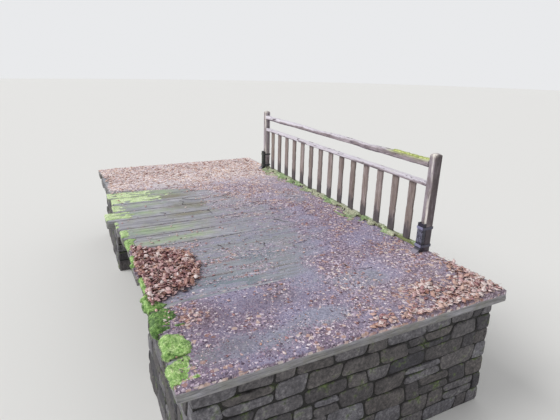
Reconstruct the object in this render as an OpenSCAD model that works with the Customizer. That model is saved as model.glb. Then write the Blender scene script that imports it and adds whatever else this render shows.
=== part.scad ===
// Wooden footbridge: heavy planks laid across three log beams, which bear in
// pockets of two rubble-stone abutments, with one railing of flat pales.
// +X runs along the way over the bridge, +Y is the railing's side, +Z is up.
// The origin is the middle of the ground plan, level with the abutments' feet.

/* [Deck] */
// Number of planks laid side by side, from one end to the other
plank_count = 19; // [17:1:21]
// Width of a plank, measured along the bridge
plank_w = 278; // [250:1:300]
// Open joint between two planks
plank_gap = 10; // [4:1:20]
// Thickness of a plank
plank_t = 90; // [60:1:130]
// Usual length of a plank, which is the width of the deck
plank_l = 2650; // [2200:1:3200]
// Radius to which traffic has worn a plank's upper edges
plank_wear = 9; // [2:1:20]
// How far plank ends stray from the straight edge line
end_play = 14; // [0:1:30]
// Place, counted from the far end, of the longest plank
long_plank = 9; // [2:1:16]
// How far the longest plank stands out on the open side
long_out = 104; // [0:1:150]
// How far the plank after it stands out there
next_out = 46; // [0:1:100]

/* [Abutments] */
// Height of the walking surface above the abutments' feet
deck_h = 1100; // [900:1:1500]
// Clear way between the abutments, just under the deck
span = 2440; // [1800:1:2800]
// How far the front face slopes out on its way down
front_batter = 70; // [0:1:120]
// How far each side face slopes out on its way down
side_batter = 45; // [0:1:60]
// How far the side faces stand back from the deck's edges at the top
side_in = 95; // [80:1:200]
// How far the rear face stands back from the deck's end
rear_in = 60; // [10:1:120]

/* [Log beams] */
// Radius of a log at its butt end
butt_r = 165; // [155:1:190]
// Radius of a log at its thinner end
tip_r = 145; // [130:1:155]
// Depth hewn off the thinner end for the planks to lie on
top_hew = 25; // [10:1:40]
// Depth hewn off its underside where it bears on stone
seat_hew = 18; // [5:1:40]
// Length of log that bears on each abutment
bearing = 620; // [400:1:800]
// Distance of the outer logs from the deck's edges
log_in = 380; // [300:1:600]
// Clearance between a log and the sides and back of its pocket
pocket_gap = 15; // [5:1:40]

/* [Railing] */
// Number of pales
pale_count = 14; // [10:1:15]
// Distance from one pale to the next
pale_pitch = 245; // [200:1:260]
// Width of a pale, measured along the bridge
pale_w = 90; // [60:1:110]
// Thickness of a pale
pale_t = 20; // [14:1:30]
// Bevel along a pale's four long edges
pale_bevel = 2.5; // [0.5:0.5:5]
// How far the railing's middle lies from the deck's middle
rail_shift = 23; // [-100:1:100]
// Distance of the railing's middle plane from the deck's edge
rail_in = 70; // [50:1:200]
// Side of a square post
post_w = 80; // [70:1:120]
// Height of a post above the deck
post_h = 960; // [900:1:1200]
// Height of the weathered crown on a post's top
crown_h = 22; // [8:1:30]
// Height of the top rail's underside above the deck
top_rail_z = 824; // [780:1:840]
// Width of the top rail, across the bridge
top_rail_w = 88; // [60:1:110]
// Height of the top rail's section where it isn't worn
top_rail_h = 66; // [50:1:70]
// Deepest wear in the top rail's upper face
rail_wear = 13; // [0:1:20]
// How far the top rail has warped sideways at its middle
rail_bow = 7; // [0:1:15]
// Height of the middle rail's underside above the deck
mid_rail_z = 642; // [560:1:680]
// Width of the middle rail
mid_rail_w = 66; // [50:1:90]
// Height of the middle rail's section
mid_rail_h = 46; // [36:1:60]
// Width of the foot rail on the deck
foot_rail_w = 60; // [45:1:90]
// Height of the foot rail's section
foot_rail_h = 50; // [35:1:60]

/* [Joinery] */
// Length of the tenons on the rails' ends
tenon_l = 32; // [15:1:35]
// Shoulder left around a tenon
tenon_in = 12; // [6:1:16]
// Depth to which pales are let into the middle rail
housing_top = 15; // [8:1:25]
// Depth to which pales are let into the foot rail
housing_foot = 12; // [6:1:20]
// Clearance all round a pale or a tenon in its recess
joint_gap = 0.4; // [0.2:0.1:1]

/* [Post brackets] */
// Height of the steel channel that holds a post
bracket_h = 300; // [220:1:400]
// Width of the channel
bracket_w = 72; // [50:1:80]
// Depth of the channel from the post to its back
bracket_d = 35; // [25:1:50]
// Thickness of the steel plate
steel_t = 5; // [3:0.5:8]
// Width of the foot plate
shoe_w = 112; // [80:1:140]
// Depth of the foot plate
shoe_d = 95; // [70:1:120]
// Thickness of the foot plate
shoe_t = 10; // [6:1:14]
// Rise of the sloping toe in front of the channel
toe_h = 45; // [20:1:60]
// Height of a clamping band
band_h = 25; // [15:1:35]
// Thickness of a clamping band
band_t = 4; // [2:0.5:6]
// Height above the deck of the upper band's underside
band_z = 240; // [150:1:260]
// Distance from the toe's top to the lower band
band_rise = 7; // [2:1:30]
// Clearance between a band and what it clamps
band_gap = 0.3; // [0.2:0.1:0.5]

/* [Hidden] */
function numbered(name, count) = [for (i = [1:count]) str(name, i < 10 ? "_0" : "_", i)];
plank_names = numbered("plank", plank_count);
pale_names = numbered("pale", pale_count);
log_names = ["log_left", "log_middle", "log_right"];
$fn = 48;
eps = 0.01;
arc_steps = 4;

// Deck levels and reach
plank_pitch = plank_w + plank_gap;
deck_l = plank_count * plank_pitch - plank_gap;
edge_y = plank_l / 2;
plank_z = deck_h - plank_t;
plank_edge = 3;

// Plank ends are ragged, each by its own part of the play
function stray(i) = end_play * sin(137 * i);
function stand_out(i) = i == long_plank ? long_out : i == long_plank + 1 ? next_out : 0;
function open_end(i) = -edge_y - stand_out(i) - stray(i);
function rail_end(i) = edge_y + stray(i + plank_count);
reach_open = min([for (i = [1:plank_count]) open_end(i)]);
reach_rail = max([for (i = [1:plank_count]) rail_end(i)]);
plan_y = -(reach_open + reach_rail) / 2;

// Logs and the pockets they bear in
log_z = plank_z - tip_r + top_hew;
seat_z = log_z - tip_r + seat_hew;
log_l = span + 2 * bearing;
log_ys = [-edge_y + log_in, 0, edge_y - log_in];
pocket_w = 2 * (butt_r + pocket_gap);

// Railing
rail_y = edge_y - rail_in;
post_x = (pale_count + 1) * pale_pitch / 2;
rail_l = 2 * post_x - post_w;
pale_x0 = rail_shift - post_x;
crown_r = (post_w * post_w / 2 + crown_h * crown_h) / (2 * crown_h);
rail_rings = 30;
rail_top_r = 20;
rail_foot_r = 5;

// Outline helpers
function arc(cx, cy, r, from, to) =
    [for (k = [0:arc_steps]) let (a = from + (to - from) * k / arc_steps) [cx + r * cos(a), cy + r * sin(a)]];
// Section of a rail or plank, standing on the origin, with rounded upper edges
function worn_section(w, h, top_r, foot_r) = concat(
    [[-w / 2 + foot_r, 0], [w / 2 - foot_r, 0], [w / 2, foot_r]],
    arc(w / 2 - top_r, h - top_r, top_r, 0, 90),
    arc(-w / 2 + top_r, h - top_r, top_r, 90, 180),
    [[-w / 2, foot_r]]);
// Wear of the top rail: two long hollows where hands and boots have leant
function hollow(t, at, wide) = exp(-pow((t - at) / wide, 2));
function wear_at(t) = rail_wear * (hollow(t, 0.42, 0.09) + 0.6 * hollow(t, 0.7, 0.06));
function bow_at(t) = rail_bow * sin(180 * t);

// Sets its children in the plan, measured from the deck's middle line
module in_plan() {
    translate([0, plan_y, 0]) children();
}

// Sets its children where the railing stands, on the deck
module on_rail_line(x = 0, z = 0) {
    in_plan() translate([rail_shift + x, rail_y, deck_h + z]) children();
}

// Extrudes a section along X, about the middle
module along(length) {
    rotate([90, 0, 90]) linear_extrude(height = length, center = true) children();
}

module rounded_plan(w, d, r) {
    square([w - 2 * r, d], center = true);
    square([w, d - 2 * r], center = true);
    for (x = [-1, 1], y = [-1, 1]) translate([x * (w / 2 - r), y * (d / 2 - r)]) circle(r);
}

// One plank, let down on logs and stone
module plank(i) {
    from_y = open_end(i);
    to_y = rail_end(i);
    x = (i - (plank_count + 1) / 2) * plank_pitch;
    color("#7d7a6e") in_plan() translate([x, to_y, plank_z]) rotate([90, 0, 0])
        linear_extrude(height = to_y - from_y)
            polygon(worn_section(plank_w, plank_t, plank_wear, plank_edge));
}

// One log, its butt towards +X or, turned about, towards -X
module log_beam(y, turned) {
    color("#6b5a48") in_plan() translate([0, y, log_z]) mirror([turned ? 1 : 0, 0, 0]) difference() {
        rotate([0, 90, 0]) cylinder(h = log_l, r1 = tip_r, r2 = butt_r, center = true);
        // Flat for the planks, hewn from end to end
        translate([-log_l / 2 - 1, -butt_r, tip_r - top_hew]) cube([log_l + 2, 2 * butt_r, butt_r]);
        // Seats on the stone
        for (side = [-1, 1]) translate([side * (log_l + span) / 4 + side, 0, seat_z - log_z - butt_r / 2])
            cube([bearing + 2, 2 * butt_r, butt_r], center = true);
    }
}

// Battered masonry block with a pocket for each log; it faces -X at the near end
module abutment() {
    top_l = (deck_l - span) / 2 - rear_in;
    top_w = plank_l - 2 * side_in;
    difference() {
        intersection() {
            rotate([90, 0, 0]) linear_extrude(height = 2 * plank_l, center = true)
                polygon([[span / 2 - front_batter, 0], [span / 2 + top_l, 0],
                    [span / 2 + top_l, plank_z], [span / 2, plank_z]]);
            rotate([90, 0, 90]) linear_extrude(height = deck_l)
                polygon([[-top_w / 2 - side_batter, 0], [top_w / 2 + side_batter, 0],
                    [top_w / 2, plank_z], [-top_w / 2, plank_z]]);
        }
        for (y = log_ys) translate([0, y - pocket_w / 2, seat_z])
            cube([span / 2 + bearing + pocket_gap, pocket_w, plank_z]);
    }
}

module abutment_near() {
    color("#6e6a62") in_plan() abutment();
}

module abutment_far() {
    color("#6e6a62") in_plan() mirror([1, 0, 0]) abutment();
}

// Square post with a weathered crown and mortises for the rails; it faces +X
module post() {
    difference() {
        intersection() {
            translate([-post_w / 2, -post_w / 2, 0]) cube([post_w, post_w, post_h]);
            union() {
                translate([-post_w, -post_w, 0]) cube([2 * post_w, 2 * post_w, post_h - 2 * crown_h]);
                translate([0, 0, post_h - crown_r]) sphere(crown_r);
            }
        }
        mortise(top_rail_w, top_rail_h, top_rail_z, post_w / 2);
        mortise(mid_rail_w, mid_rail_h, mid_rail_z, post_w / 2);
    }
}

module mortise(w, h, z, face_x) {
    translate([face_x - tenon_l - joint_gap, -w / 2 + tenon_in - joint_gap, z + tenon_in - joint_gap])
        cube([tenon_l + 2, w - 2 * tenon_in + 2 * joint_gap, h - 2 * tenon_in + 2 * joint_gap]);
}

module post_far() {
    color("#8a8378") on_rail_line(-post_x) post();
}

module post_near() {
    color("#8a8378") on_rail_line(post_x) mirror([1, 0, 0]) post();
}

// Tenons at both ends of a rail whose underside is at z = 0
module tenons(w, h) {
    translate([-rail_l / 2 - tenon_l, -w / 2 + tenon_in, tenon_in])
        cube([rail_l + 2 * tenon_l, w - 2 * tenon_in, h - 2 * tenon_in]);
}

// Hand rail, swept ring by ring so that its wear and its bow follow the length
module worn_rail() {
    rings = [for (k = [0:rail_rings]) let (t = k / rail_rings)
        [for (p = worn_section(top_rail_w - wear_at(t), top_rail_h - wear_at(t), rail_top_r, rail_foot_r))
            [(t - 0.5) * rail_l, p[0] + bow_at(t), p[1]]]];
    n = len(rings[0]);
    sides = [for (k = [0:rail_rings - 1], j = [0:n - 1])
        [k * n + j, k * n + (j + 1) % n, (k + 1) * n + (j + 1) % n, (k + 1) * n + j]];
    near_end = [for (j = [0:n - 1]) rail_rings * n + j];
    far_end = [for (j = [n - 1:-1:0]) j];
    polyhedron(points = [for (ring = rings, p = ring) p],
        faces = concat([for (f = sides) [f[3], f[2], f[1], f[0]]], [far_end],
            [[for (j = [n - 1:-1:0]) near_end[n - 1 - j]]]));
}

module top_rail() {
    color("#a39c9a") on_rail_line(0, top_rail_z) {
        worn_rail();
        tenons(top_rail_w, top_rail_h);
    }
}

// Recesses for the pales, cut from a level upward or downward
module housings(depth) {
    for (i = [1:pale_count]) translate([pale_x0 - rail_shift + i * pale_pitch, 0, 0])
        cube([pale_w + 2 * joint_gap, pale_t + 2 * joint_gap, 2 * depth], center = true);
}

module middle_rail() {
    color("#a39c9a") on_rail_line(0, mid_rail_z) difference() {
        union() {
            along(rail_l) polygon(worn_section(mid_rail_w, mid_rail_h, plank_wear, plank_edge));
            tenons(mid_rail_w, mid_rail_h);
        }
        housings(housing_top);
    }
}

module foot_rail() {
    color("#6f6a55") on_rail_line() difference() {
        along(rail_l) polygon(worn_section(foot_rail_w, foot_rail_h, plank_wear, plank_edge));
        translate([0, 0, foot_rail_h]) housings(housing_foot);
    }
}

// One pale, standing in the foot rail and let into the middle rail
module pale(i) {
    foot_z = foot_rail_h - housing_foot;
    half_w = pale_w / 2;
    half_t = pale_t / 2;
    color("#857d74") in_plan() translate([pale_x0 + i * pale_pitch, rail_y, deck_h + foot_z])
        linear_extrude(height = mid_rail_z + housing_top - joint_gap - foot_z)
            polygon([[-half_w + pale_bevel, -half_t], [half_w - pale_bevel, -half_t],
                [half_w, -half_t + pale_bevel], [half_w, half_t - pale_bevel],
                [half_w - pale_bevel, half_t], [-half_w + pale_bevel, half_t],
                [-half_w, half_t - pale_bevel], [-half_w, -half_t + pale_bevel]]);
}

// Clamping band around a post and the channel beside it
module band() {
    inner_w = post_w + 2 * band_gap;
    inner_d = post_w + bracket_d + 2 * band_gap;
    translate([0, -bracket_d / 2, 0]) linear_extrude(height = band_h) difference() {
        rounded_plan(inner_w + 2 * band_t, inner_d + 2 * band_t, band_t);
        square([inner_w, inner_d], center = true);
    }
}

// Channel, foot plate and sloping toe, welded into one, on the post's deck side
module bracket() {
    back_y = -post_w / 2 - bracket_d;
    translate([-shoe_w / 2, -post_w / 2 - shoe_d, 0]) cube([shoe_w, shoe_d, shoe_t]);
    translate([-bracket_w / 2, back_y, shoe_t - eps]) difference() {
        cube([bracket_w, bracket_d, bracket_h - shoe_t + eps]);
        translate([steel_t, steel_t, -1]) cube([bracket_w - 2 * steel_t, bracket_d, bracket_h + 2]);
    }
    translate([0, back_y, shoe_t]) along(bracket_w)
        polygon([[-shoe_d + bracket_d, -eps], [eps, -eps], [eps, toe_h], [0, toe_h]]);
    translate([0, 0, shoe_t + toe_h + band_rise]) band();
    translate([0, 0, band_z]) band();
}

module bracket_far() {
    color("#2f3833") on_rail_line(-post_x) bracket();
}

module bracket_near() {
    color("#5b665f") on_rail_line(post_x) bracket();
}

for (i = [1:plank_count]) plank(i);
for (i = [1:pale_count]) pale(i);
for (i = [0:2]) log_beam(log_ys[i], i == 1);
abutment_far();
abutment_near();
post_far();
post_near();
top_rail();
middle_rail();
foot_rail();
bracket_far();
bracket_near();
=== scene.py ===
# Weathered timber footbridge: planks on log beams and rubble stone, with one paled railing
import math
from functools import partial

import bpy
import numpy as np
from mathutils import Matrix, Vector


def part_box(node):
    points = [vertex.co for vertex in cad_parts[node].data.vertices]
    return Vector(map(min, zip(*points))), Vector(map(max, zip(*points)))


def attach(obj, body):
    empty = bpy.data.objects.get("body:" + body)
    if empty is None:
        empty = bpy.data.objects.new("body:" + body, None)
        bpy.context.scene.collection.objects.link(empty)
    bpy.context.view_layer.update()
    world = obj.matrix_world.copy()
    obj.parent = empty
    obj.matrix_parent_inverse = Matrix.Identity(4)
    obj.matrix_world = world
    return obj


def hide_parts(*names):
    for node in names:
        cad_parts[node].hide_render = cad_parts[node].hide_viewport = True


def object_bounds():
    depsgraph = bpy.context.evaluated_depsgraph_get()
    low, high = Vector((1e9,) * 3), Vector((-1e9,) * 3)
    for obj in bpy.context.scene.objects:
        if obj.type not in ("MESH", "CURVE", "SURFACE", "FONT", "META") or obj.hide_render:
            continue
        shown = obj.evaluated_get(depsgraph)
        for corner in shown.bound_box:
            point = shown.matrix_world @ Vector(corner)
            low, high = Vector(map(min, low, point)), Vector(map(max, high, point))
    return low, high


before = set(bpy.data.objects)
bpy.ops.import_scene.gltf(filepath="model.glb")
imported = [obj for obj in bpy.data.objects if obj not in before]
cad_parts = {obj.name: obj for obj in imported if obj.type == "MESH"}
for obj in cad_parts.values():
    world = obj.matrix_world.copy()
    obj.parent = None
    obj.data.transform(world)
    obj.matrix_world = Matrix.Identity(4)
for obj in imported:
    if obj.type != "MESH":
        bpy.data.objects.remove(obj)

cadLow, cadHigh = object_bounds()
rng = np.random.default_rng(4248)  # every random draw comes from here, in this order

# Landmarks, read from the frame
farLow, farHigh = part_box("post_far")
nearLow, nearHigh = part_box("post_near")
farX, nearX = (farLow.x + farHigh.x) / 2, (nearLow.x + nearHigh.x) / 2
railY = (nearLow.y + nearHigh.y) / 2
postW = nearHigh.x - nearLow.x
plankNames = sorted(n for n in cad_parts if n.startswith("plank_"))
paleNames = sorted(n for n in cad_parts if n.startswith("pale_"))
logNames = sorted(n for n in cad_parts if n.startswith("log_"))
plankBoxes = np.array([[*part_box(n)[0], *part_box(n)[1]] for n in plankNames])
deckZ = plankBoxes[0, 5]
plankPitch = plankBoxes[1, 0] - plankBoxes[0, 0]


# Numbers and noise

def toLinear(hexColour):
    parts = [int(hexColour[i:i + 2], 16) / 255 for i in (1, 3, 5)]
    return [c / 12.92 if c <= 0.04045 else ((c + 0.055) / 1.055) ** 2.4 for c in parts] + [1.0]


def perMetre(millimetres):  # texture scale for a pattern of that size
    return 1000.0 / millimetres


def latticeHash(cells, seed):
    c = cells.astype(np.int64).astype(np.uint32)
    n = c[:, 0] * np.uint32(374761393) + c[:, 1] * np.uint32(668265263)
    n = n + c[:, 2] * np.uint32(2246822519) + np.uint32(seed * 40503 + 977)
    n = (n ^ (n >> np.uint32(13))) * np.uint32(1274126177)
    n = n ^ (n >> np.uint32(16))
    return n.astype(np.float64) / 2147483648.0 - 1.0


def smoothNoise(points, size, seed, octaves=1):  # from -1 to 1; size in metres, one value or three
    total = np.zeros(len(points))
    weight, reach = 1.0, 0.0
    p = points / np.asarray(size, dtype=float)
    for octave in range(octaves):
        cell = np.floor(p)
        part = p - cell
        part = part * part * (3 - 2 * part)
        for corner in range(8):
            step = np.array([corner & 1, corner >> 1 & 1, corner >> 2 & 1])
            share = np.prod(np.where(step == 1, part, 1 - part), axis=1)
            total += weight * share * latticeHash(cell + step, seed + octave)
        reach += weight
        weight *= 0.5
        p = p * 2.03
    return total / reach


def ease(x):  # 0 below 0, 1 above 1, smooth between
    x = np.clip(x, 0, 1)
    return x * x * (3 - 2 * x)


def onPlane(x, y):
    return np.column_stack([x, y, np.zeros(len(x))])


def unitRows(vectors):
    return vectors / np.linalg.norm(vectors, axis=1)[:, None]


def gridPoints(firsts, seconds):  # flat coordinates of a grid, and its shape
    first, second = np.meshgrid(firsts, seconds, indexing="ij")
    return first.ravel(), second.ravel(), first.shape


# Meshes

def makePiece(name, points, faces, material, replaced=(), fields=None, smooth=True):
    mesh = bpy.data.meshes.new(name)
    mesh.from_pydata(np.asarray(points).tolist(), [], faces)
    mesh.polygons.foreach_set("use_smooth", [smooth] * len(mesh.polygons))
    for key, values in (fields or {}).items():
        filled = np.broadcast_to(np.asarray(values, dtype=np.float32), len(points))
        mesh.attributes.new(key, "FLOAT", "POINT").data.foreach_set("value", np.ascontiguousarray(filled))
    mesh.materials.append(material)
    mesh.update()
    piece = bpy.data.objects.new(name, mesh)
    bpy.context.scene.collection.objects.link(piece)
    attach(piece, "root")
    if replaced:
        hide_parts(*replaced)
    return piece


def mergeParts(parts):  # joins (points, faces, field) parts into one
    points, faces, fields, offset = [], [], [], 0
    for p, f, field in parts:
        points.append(p)
        faces += [[v + offset for v in face] for face in f]
        fields.append(field)
        offset += len(p)
    return np.concatenate(points), faces, np.concatenate(fields)


def spread(start, end, step):  # values from start towards end, the end left out
    count = max(1, int(round(abs(end - start) / step)))
    return [start + (end - start) * k / count for k in range(count)]


def boxOutline(width, height, radii, steps, extra=()):
    # Closed outline, counter-clockwise from the foot: radii are (foot, top), steps (foot, side, top)
    half = width / 2
    foot, top = radii
    footTurn, topTurn = ([(math.sin(a), math.cos(a)) for a in spread(0, math.pi / 2, step)]
                         for step in (0.6, 0.45))
    points = [(v, 0) for v in spread(-half + foot, half - foot, steps[0])]
    points += [(half - foot + foot * s, foot - foot * c) for s, c in footTurn]
    points += [(half, w) for w in spread(foot, height - top, steps[1])]
    points += [(half - top + top * c, height - top + top * s) for s, c in topTurn]
    upper = sorted(set(spread(-half + top, half - top, steps[2])) | set(extra) | {half - top}, reverse=True)
    upper = [v for k, v in enumerate(upper) if k == 0 or upper[k - 1] - v > 0.0012]
    points += [(v, height) for v in upper[:-1]]
    points += [(-half + top - top * s, height - top + top * c) for s, c in topTurn]
    points += [(-half, w) for w in spread(height - top, foot, steps[1])]
    points += [(-half + foot - foot * c, foot - foot * s) for s, c in footTurn]
    return np.array(points)


def slotsAt(cracks, half):  # points of an outline that let each open check be cut in
    return sorted(v + d for v in cracks for d in (-half, 0, half))


def ringFaces(rings, n, foot, top):  # sides between rings of n points, and fans to the centres foot and top
    last = (rings - 1) * n
    faces = [(i * n + j, i * n + (j + 1) % n, (i + 1) * n + (j + 1) % n, (i + 1) * n + j)
             for i in range(rings - 1) for j in range(n)]
    faces += [(foot, (j + 1) % n, j) for j in range(n)]
    return faces + [(top, last + j, last + (j + 1) % n) for j in range(n)]


def sweep(stations, outline, capSteps=(0.25, 0.5, 0.75, 0.93)):
    # Rings along u with closed ends; returns local points (u, v, w), outward normals and faces
    n = len(outline)
    centre = outline.mean(axis=0)
    forward = np.roll(outline, -1, axis=0) - np.roll(outline, 1, axis=0)
    outward = unitRows(np.stack([forward[:, 1], -forward[:, 0]], axis=1))
    layers = [(stations[0], k, -1) for k in capSteps] + [(u, 1.0, 0) for u in stations]
    layers += [(stations[-1], k, 1) for k in reversed(capSteps)]
    points, normals = [], []
    for u, k, end in layers:
        points.append(np.column_stack([np.full(n, u), centre + (outline - centre) * k]))
        normals.append(np.column_stack([np.full(n, float(end)), outward * (end == 0)]))
    points.append([[stations[0], *centre], [stations[-1], *centre]])
    normals.append([[-1.0, 0, 0], [1.0, 0, 0]])
    faces = ringFaces(len(layers), n, len(layers) * n, len(layers) * n + 1)
    return np.concatenate(points), np.concatenate(normals), faces


lying = ((1, 0, 0), (0, 1, 0), (0, 0, 1))  # axes of a rail or log, which runs along X
standing = ((0, 0, 1), (1, 0, 0), (0, 1, 0))  # axes of a post or pale


def placed(local, origin, axes=lying):  # local (u, v, w) to the row's frame
    return np.asarray(origin) + local @ np.array(axes, dtype=float)


def shell(top, bottom, enough, shape):
    # Closed body between two fields of points over a grid, for the cells whose corners are all enough
    enough = enough.reshape(shape)
    keep = enough[:-1, :-1] & enough[1:, :-1] & enough[1:, 1:] & enough[:-1, 1:]
    rows, columns = keep.shape
    index = np.arange((rows + 1) * (columns + 1)).reshape(rows + 1, columns + 1)
    a, b, c, d = index[:-1, :-1], index[1:, :-1], index[1:, 1:], index[:-1, 1:]
    padded = np.pad(keep, 1)
    quads = [np.stack([a, b, c, d], axis=-1)[keep], np.stack([a, d, c, b], axis=-1)[keep] + index.size]
    for p, q, beyond in ((a, b, padded[1:-1, :-2]), (b, c, padded[2:, 1:-1]),
                         (c, d, padded[1:-1, 2:]), (d, a, padded[:-2, 1:-1])):
        rim = keep & ~beyond
        quads.append(np.stack([p[rim], p[rim] + index.size, q[rim] + index.size, q[rim]], axis=-1))
    quads = np.concatenate(quads)
    points = np.concatenate([top, bottom])
    used = np.unique(quads)
    renumber = np.zeros(len(points), dtype=int)
    renumber[used] = np.arange(len(used))
    return points[used], renumber[quads].tolist()


print("stage: helpers ready")

# Materials

# What a kind of node is given, and which of its outputs is meant, unless a call says otherwise
usualSettings = {"Mix": {"data_type": "RGBA"}}
usualOut = {"Mix": 2, "Attribute": "Fac"}


def addNode(tree, kind, inputs=(), out="usual", stops=None, **settings):
    # Adds a node with its settings, stops and links, and gives the output asked for (None: the node).
    # Inputs come by name or number, or in the node's own order.
    node = tree.nodes.new("ShaderNode" + kind)
    for key, value in {**usualSettings.get(kind, {}), **settings}.items():
        setattr(node, key, value)
    if stops:
        ramp = node.color_ramp.elements
        ramp[0].position, ramp[1].position = stops[0][0], stops[-1][0]
        for at, colour in stops[1:-1]:
            ramp.new(at)
        for element, (at, colour) in zip(ramp, stops):
            element.color = toLinear(colour) if isinstance(colour, str) else [colour] * 3 + [1.0]
    for key, value in inputs.items() if isinstance(inputs, dict) else enumerate(inputs):
        if isinstance(value, bpy.types.NodeSocket):
            tree.links.new(value, node.inputs[key])
        else:
            node.inputs[key].default_value = toLinear(value) if isinstance(value, str) else value
    if out is None:
        return node
    return node.outputs[usualOut.get(kind, 0) if out == "usual" else out]


def startMaterial(name):  # the material, its node adder, its surface shader and the object's coordinates
    material = bpy.data.materials.new(name)
    material.use_nodes = True
    tree = material.node_tree
    tree.nodes.clear()
    surface = addNode(tree, "BsdfPrincipled", out=None)
    addNode(tree, "OutputMaterial", {"Surface": surface.outputs[0]}, out=None)
    return material, partial(addNode, tree), surface, addNode(tree, "TexCoord", out="Object")


def finishSurface(tree, surface, colour, roughness, height, strength, distance):
    tree.links.new(colour, surface.inputs["Base Color"])
    if isinstance(roughness, bpy.types.NodeSocket):
        tree.links.new(roughness, surface.inputs["Roughness"])
    else:
        surface.inputs["Roughness"].default_value = roughness
    bump = addNode(tree, "Bump", {"Height": height, "Strength": strength, "Distance": distance})
    tree.links.new(bump, surface.inputs["Normal"])


siltTones = {
    "fine": ("#646079", "#968fab", "#c8c1d6"), "bare": ("#66687b", "#8e8fa4", "#b9b9cc"),
    "crumbs": ("#493c4d", "#7f6d83", "#b29db3", "#d9c8d5", "#f6ebf1"),
    "leaves": ("#6f4a44", "#b18270", "#dab59f", "#eed6c8", "#faeee6"),
    "mould": "#76636d", "green": "#8d9588", "driedAndLit": "#eed3c5", "streak": "#77716f", "wet": "#959b9e",
    "pool": "#74828c"}


def siltColours(node, place):
    # Blue-grey silt under leaf crumbs of three sizes, thick where litter is high, with bare wet patches
    fine = node("TexNoise", {"Vector": place, "Scale": perMetre(18), "Detail": 8.0, "Roughness": 0.85})
    broad = node("TexNoise", {"Vector": place, "Scale": perMetre(300), "Detail": 5.0, "Roughness": 0.6})
    litter, bare, light, film, pool = (node("Attribute", attribute_name=key)
                                       for key in ("litter", "bare", "light", "film", "pool"))
    low, middle, high = siltTones["fine"]
    colour = node("ValToRGB", {"Fac": fine}, stops=[(0.38, low), (0.5, middle), (0.62, high)])
    rotted = node("Math", (fine, 1.6, litter), operation="MULTIPLY_ADD")
    mould = node("MapRange", (rotted, 0.95, 1.5, 0, 0.8))
    colour = node("Mix", {0: mould, 6: colour, 7: siltTones["mould"]})
    pushed = node("Math", (bare, 0.9, broad), operation="MULTIPLY_ADD")
    bared = node("MapRange", (pushed, 0.58, 0.92))
    smooth = node("ValToRGB", {"Fac": fine}, stops=list(zip((0.38, 0.5, 0.62), siltTones["bare"])))
    greened = node("TexNoise", {"Vector": place, "Scale": perMetre(170), "Detail": 6.0, "Roughness": 0.7})
    slimed = node("MapRange", (greened, 0.5, 0.64, 0, 0.4))
    smooth = node("Mix", {0: slimed, 6: smooth, 7: siltTones["green"]})
    bareShare = node("Math", (bared, 0.85), operation="MULTIPLY")
    colour = node("Mix", {0: bareShare, 6: colour, 7: smooth})
    drawn = node("Mapping", {"Vector": place, "Scale": (1.0, 0.07, 1.0)})  # mud drawn out along the planks
    streaks = node("TexNoise", {"Vector": drawn, "Scale": perMetre(26), "Detail": 6.0, "Roughness": 0.7})
    thinned = node("Math", (film, 0.6), operation="MULTIPLY")
    colour = node("Mix", {0: thinned, 6: colour, 7: siltTones["wet"]})
    streaked = node("Math", (node("MapRange", (streaks, 0.5, 0.62)), film), operation="MULTIPLY")
    colour = node("Mix", {0: streaked, 6: colour, 7: siltTones["streak"]})
    colour = node("Mix", {0: pool, 6: colour, 7: siltTones["pool"]})
    caught = node("Math", (streaked, 0.3, litter), operation="MULTIPLY_ADD")
    strewn = node("Math", (bared, -0.3, caught), operation="MULTIPLY_ADD")
    warp = node("TexNoise", {"Vector": place, "Scale": perMetre(16), "Detail": 2.0}, "Color")
    bent = node("Mix", {0: 0.016, 4: place, 5: warp}, 1, data_type="VECTOR")
    # painted light: brighter and paler silt where the light share is high, partly as it dries
    brighter = node("MapRange", (light, 0, 1, 1.0, 1.42))
    paler = node("MapRange", (light, 0, 1, 1.0, 0.6))
    driedAndLit = node("Math", (light, 0.32), operation="MULTIPLY")
    wholeLeaves = node("Math", (light, 0.35, strewn), operation="MULTIPLY_ADD")
    crumbSizes = ((9, 0.85, 0.0, "crumbs"), (19, 0.96, 5.3, "crumbs"), (34, 1.25, 9.1, "leaves"))
    for crumbMm, rare, shift, tones in crumbSizes:
        if tones == "leaves":  # the far end's paler silt, painted brighter where the light share is high; the largest crumbs lie on it in their own colour
            colour = node("HueSaturation", {"Color": colour, "Value": brighter, "Saturation": paler})
            colour = node("Mix", {0: driedAndLit, 6: colour, 7: siltTones["driedAndLit"]})
        moved = node("VectorMath", {0: bent, 1: (shift, shift, 0.0)}, operation="ADD")
        cell = node("TexVoronoi", {"Vector": moved, "Scale": perMetre(crumbMm)}, None)
        parts = node("SeparateColor", {0: cell.outputs["Color"]}, None)
        share = wholeLeaves if tones == "leaves" else strewn
        chance = node("Math", (share, 0.8, parts.outputs[0]), operation="MULTIPLY_ADD")
        chosen = node("MapRange", (chance, rare, rare + 0.02))
        shape = node("MapRange", (cell.outputs["Distance"], 0.6, 0.5))
        amount = node("Math", (chosen, shape), operation="MULTIPLY")
        if tones == "leaves":
            amount = node("Math", (amount, node("MapRange", (light, 0, 1, 0.65))), operation="MULTIPLY")
        toned = node("Math", (light, 0.2, parts.outputs[1]), operation="MULTIPLY_ADD")
        crumb = node("ValToRGB", {"Fac": toned},
                     stops=list(zip((0.02, 0.3, 0.62, 0.88, 1.0), siltTones[tones])))
        colour = node("Mix", {0: amount, 6: colour, 7: crumb})
    return colour, fine, bared


usualWood = {"fields": (), "silted": False, "endGrain": None, "roughness": 0.7, "bump": 0.5}


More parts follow.
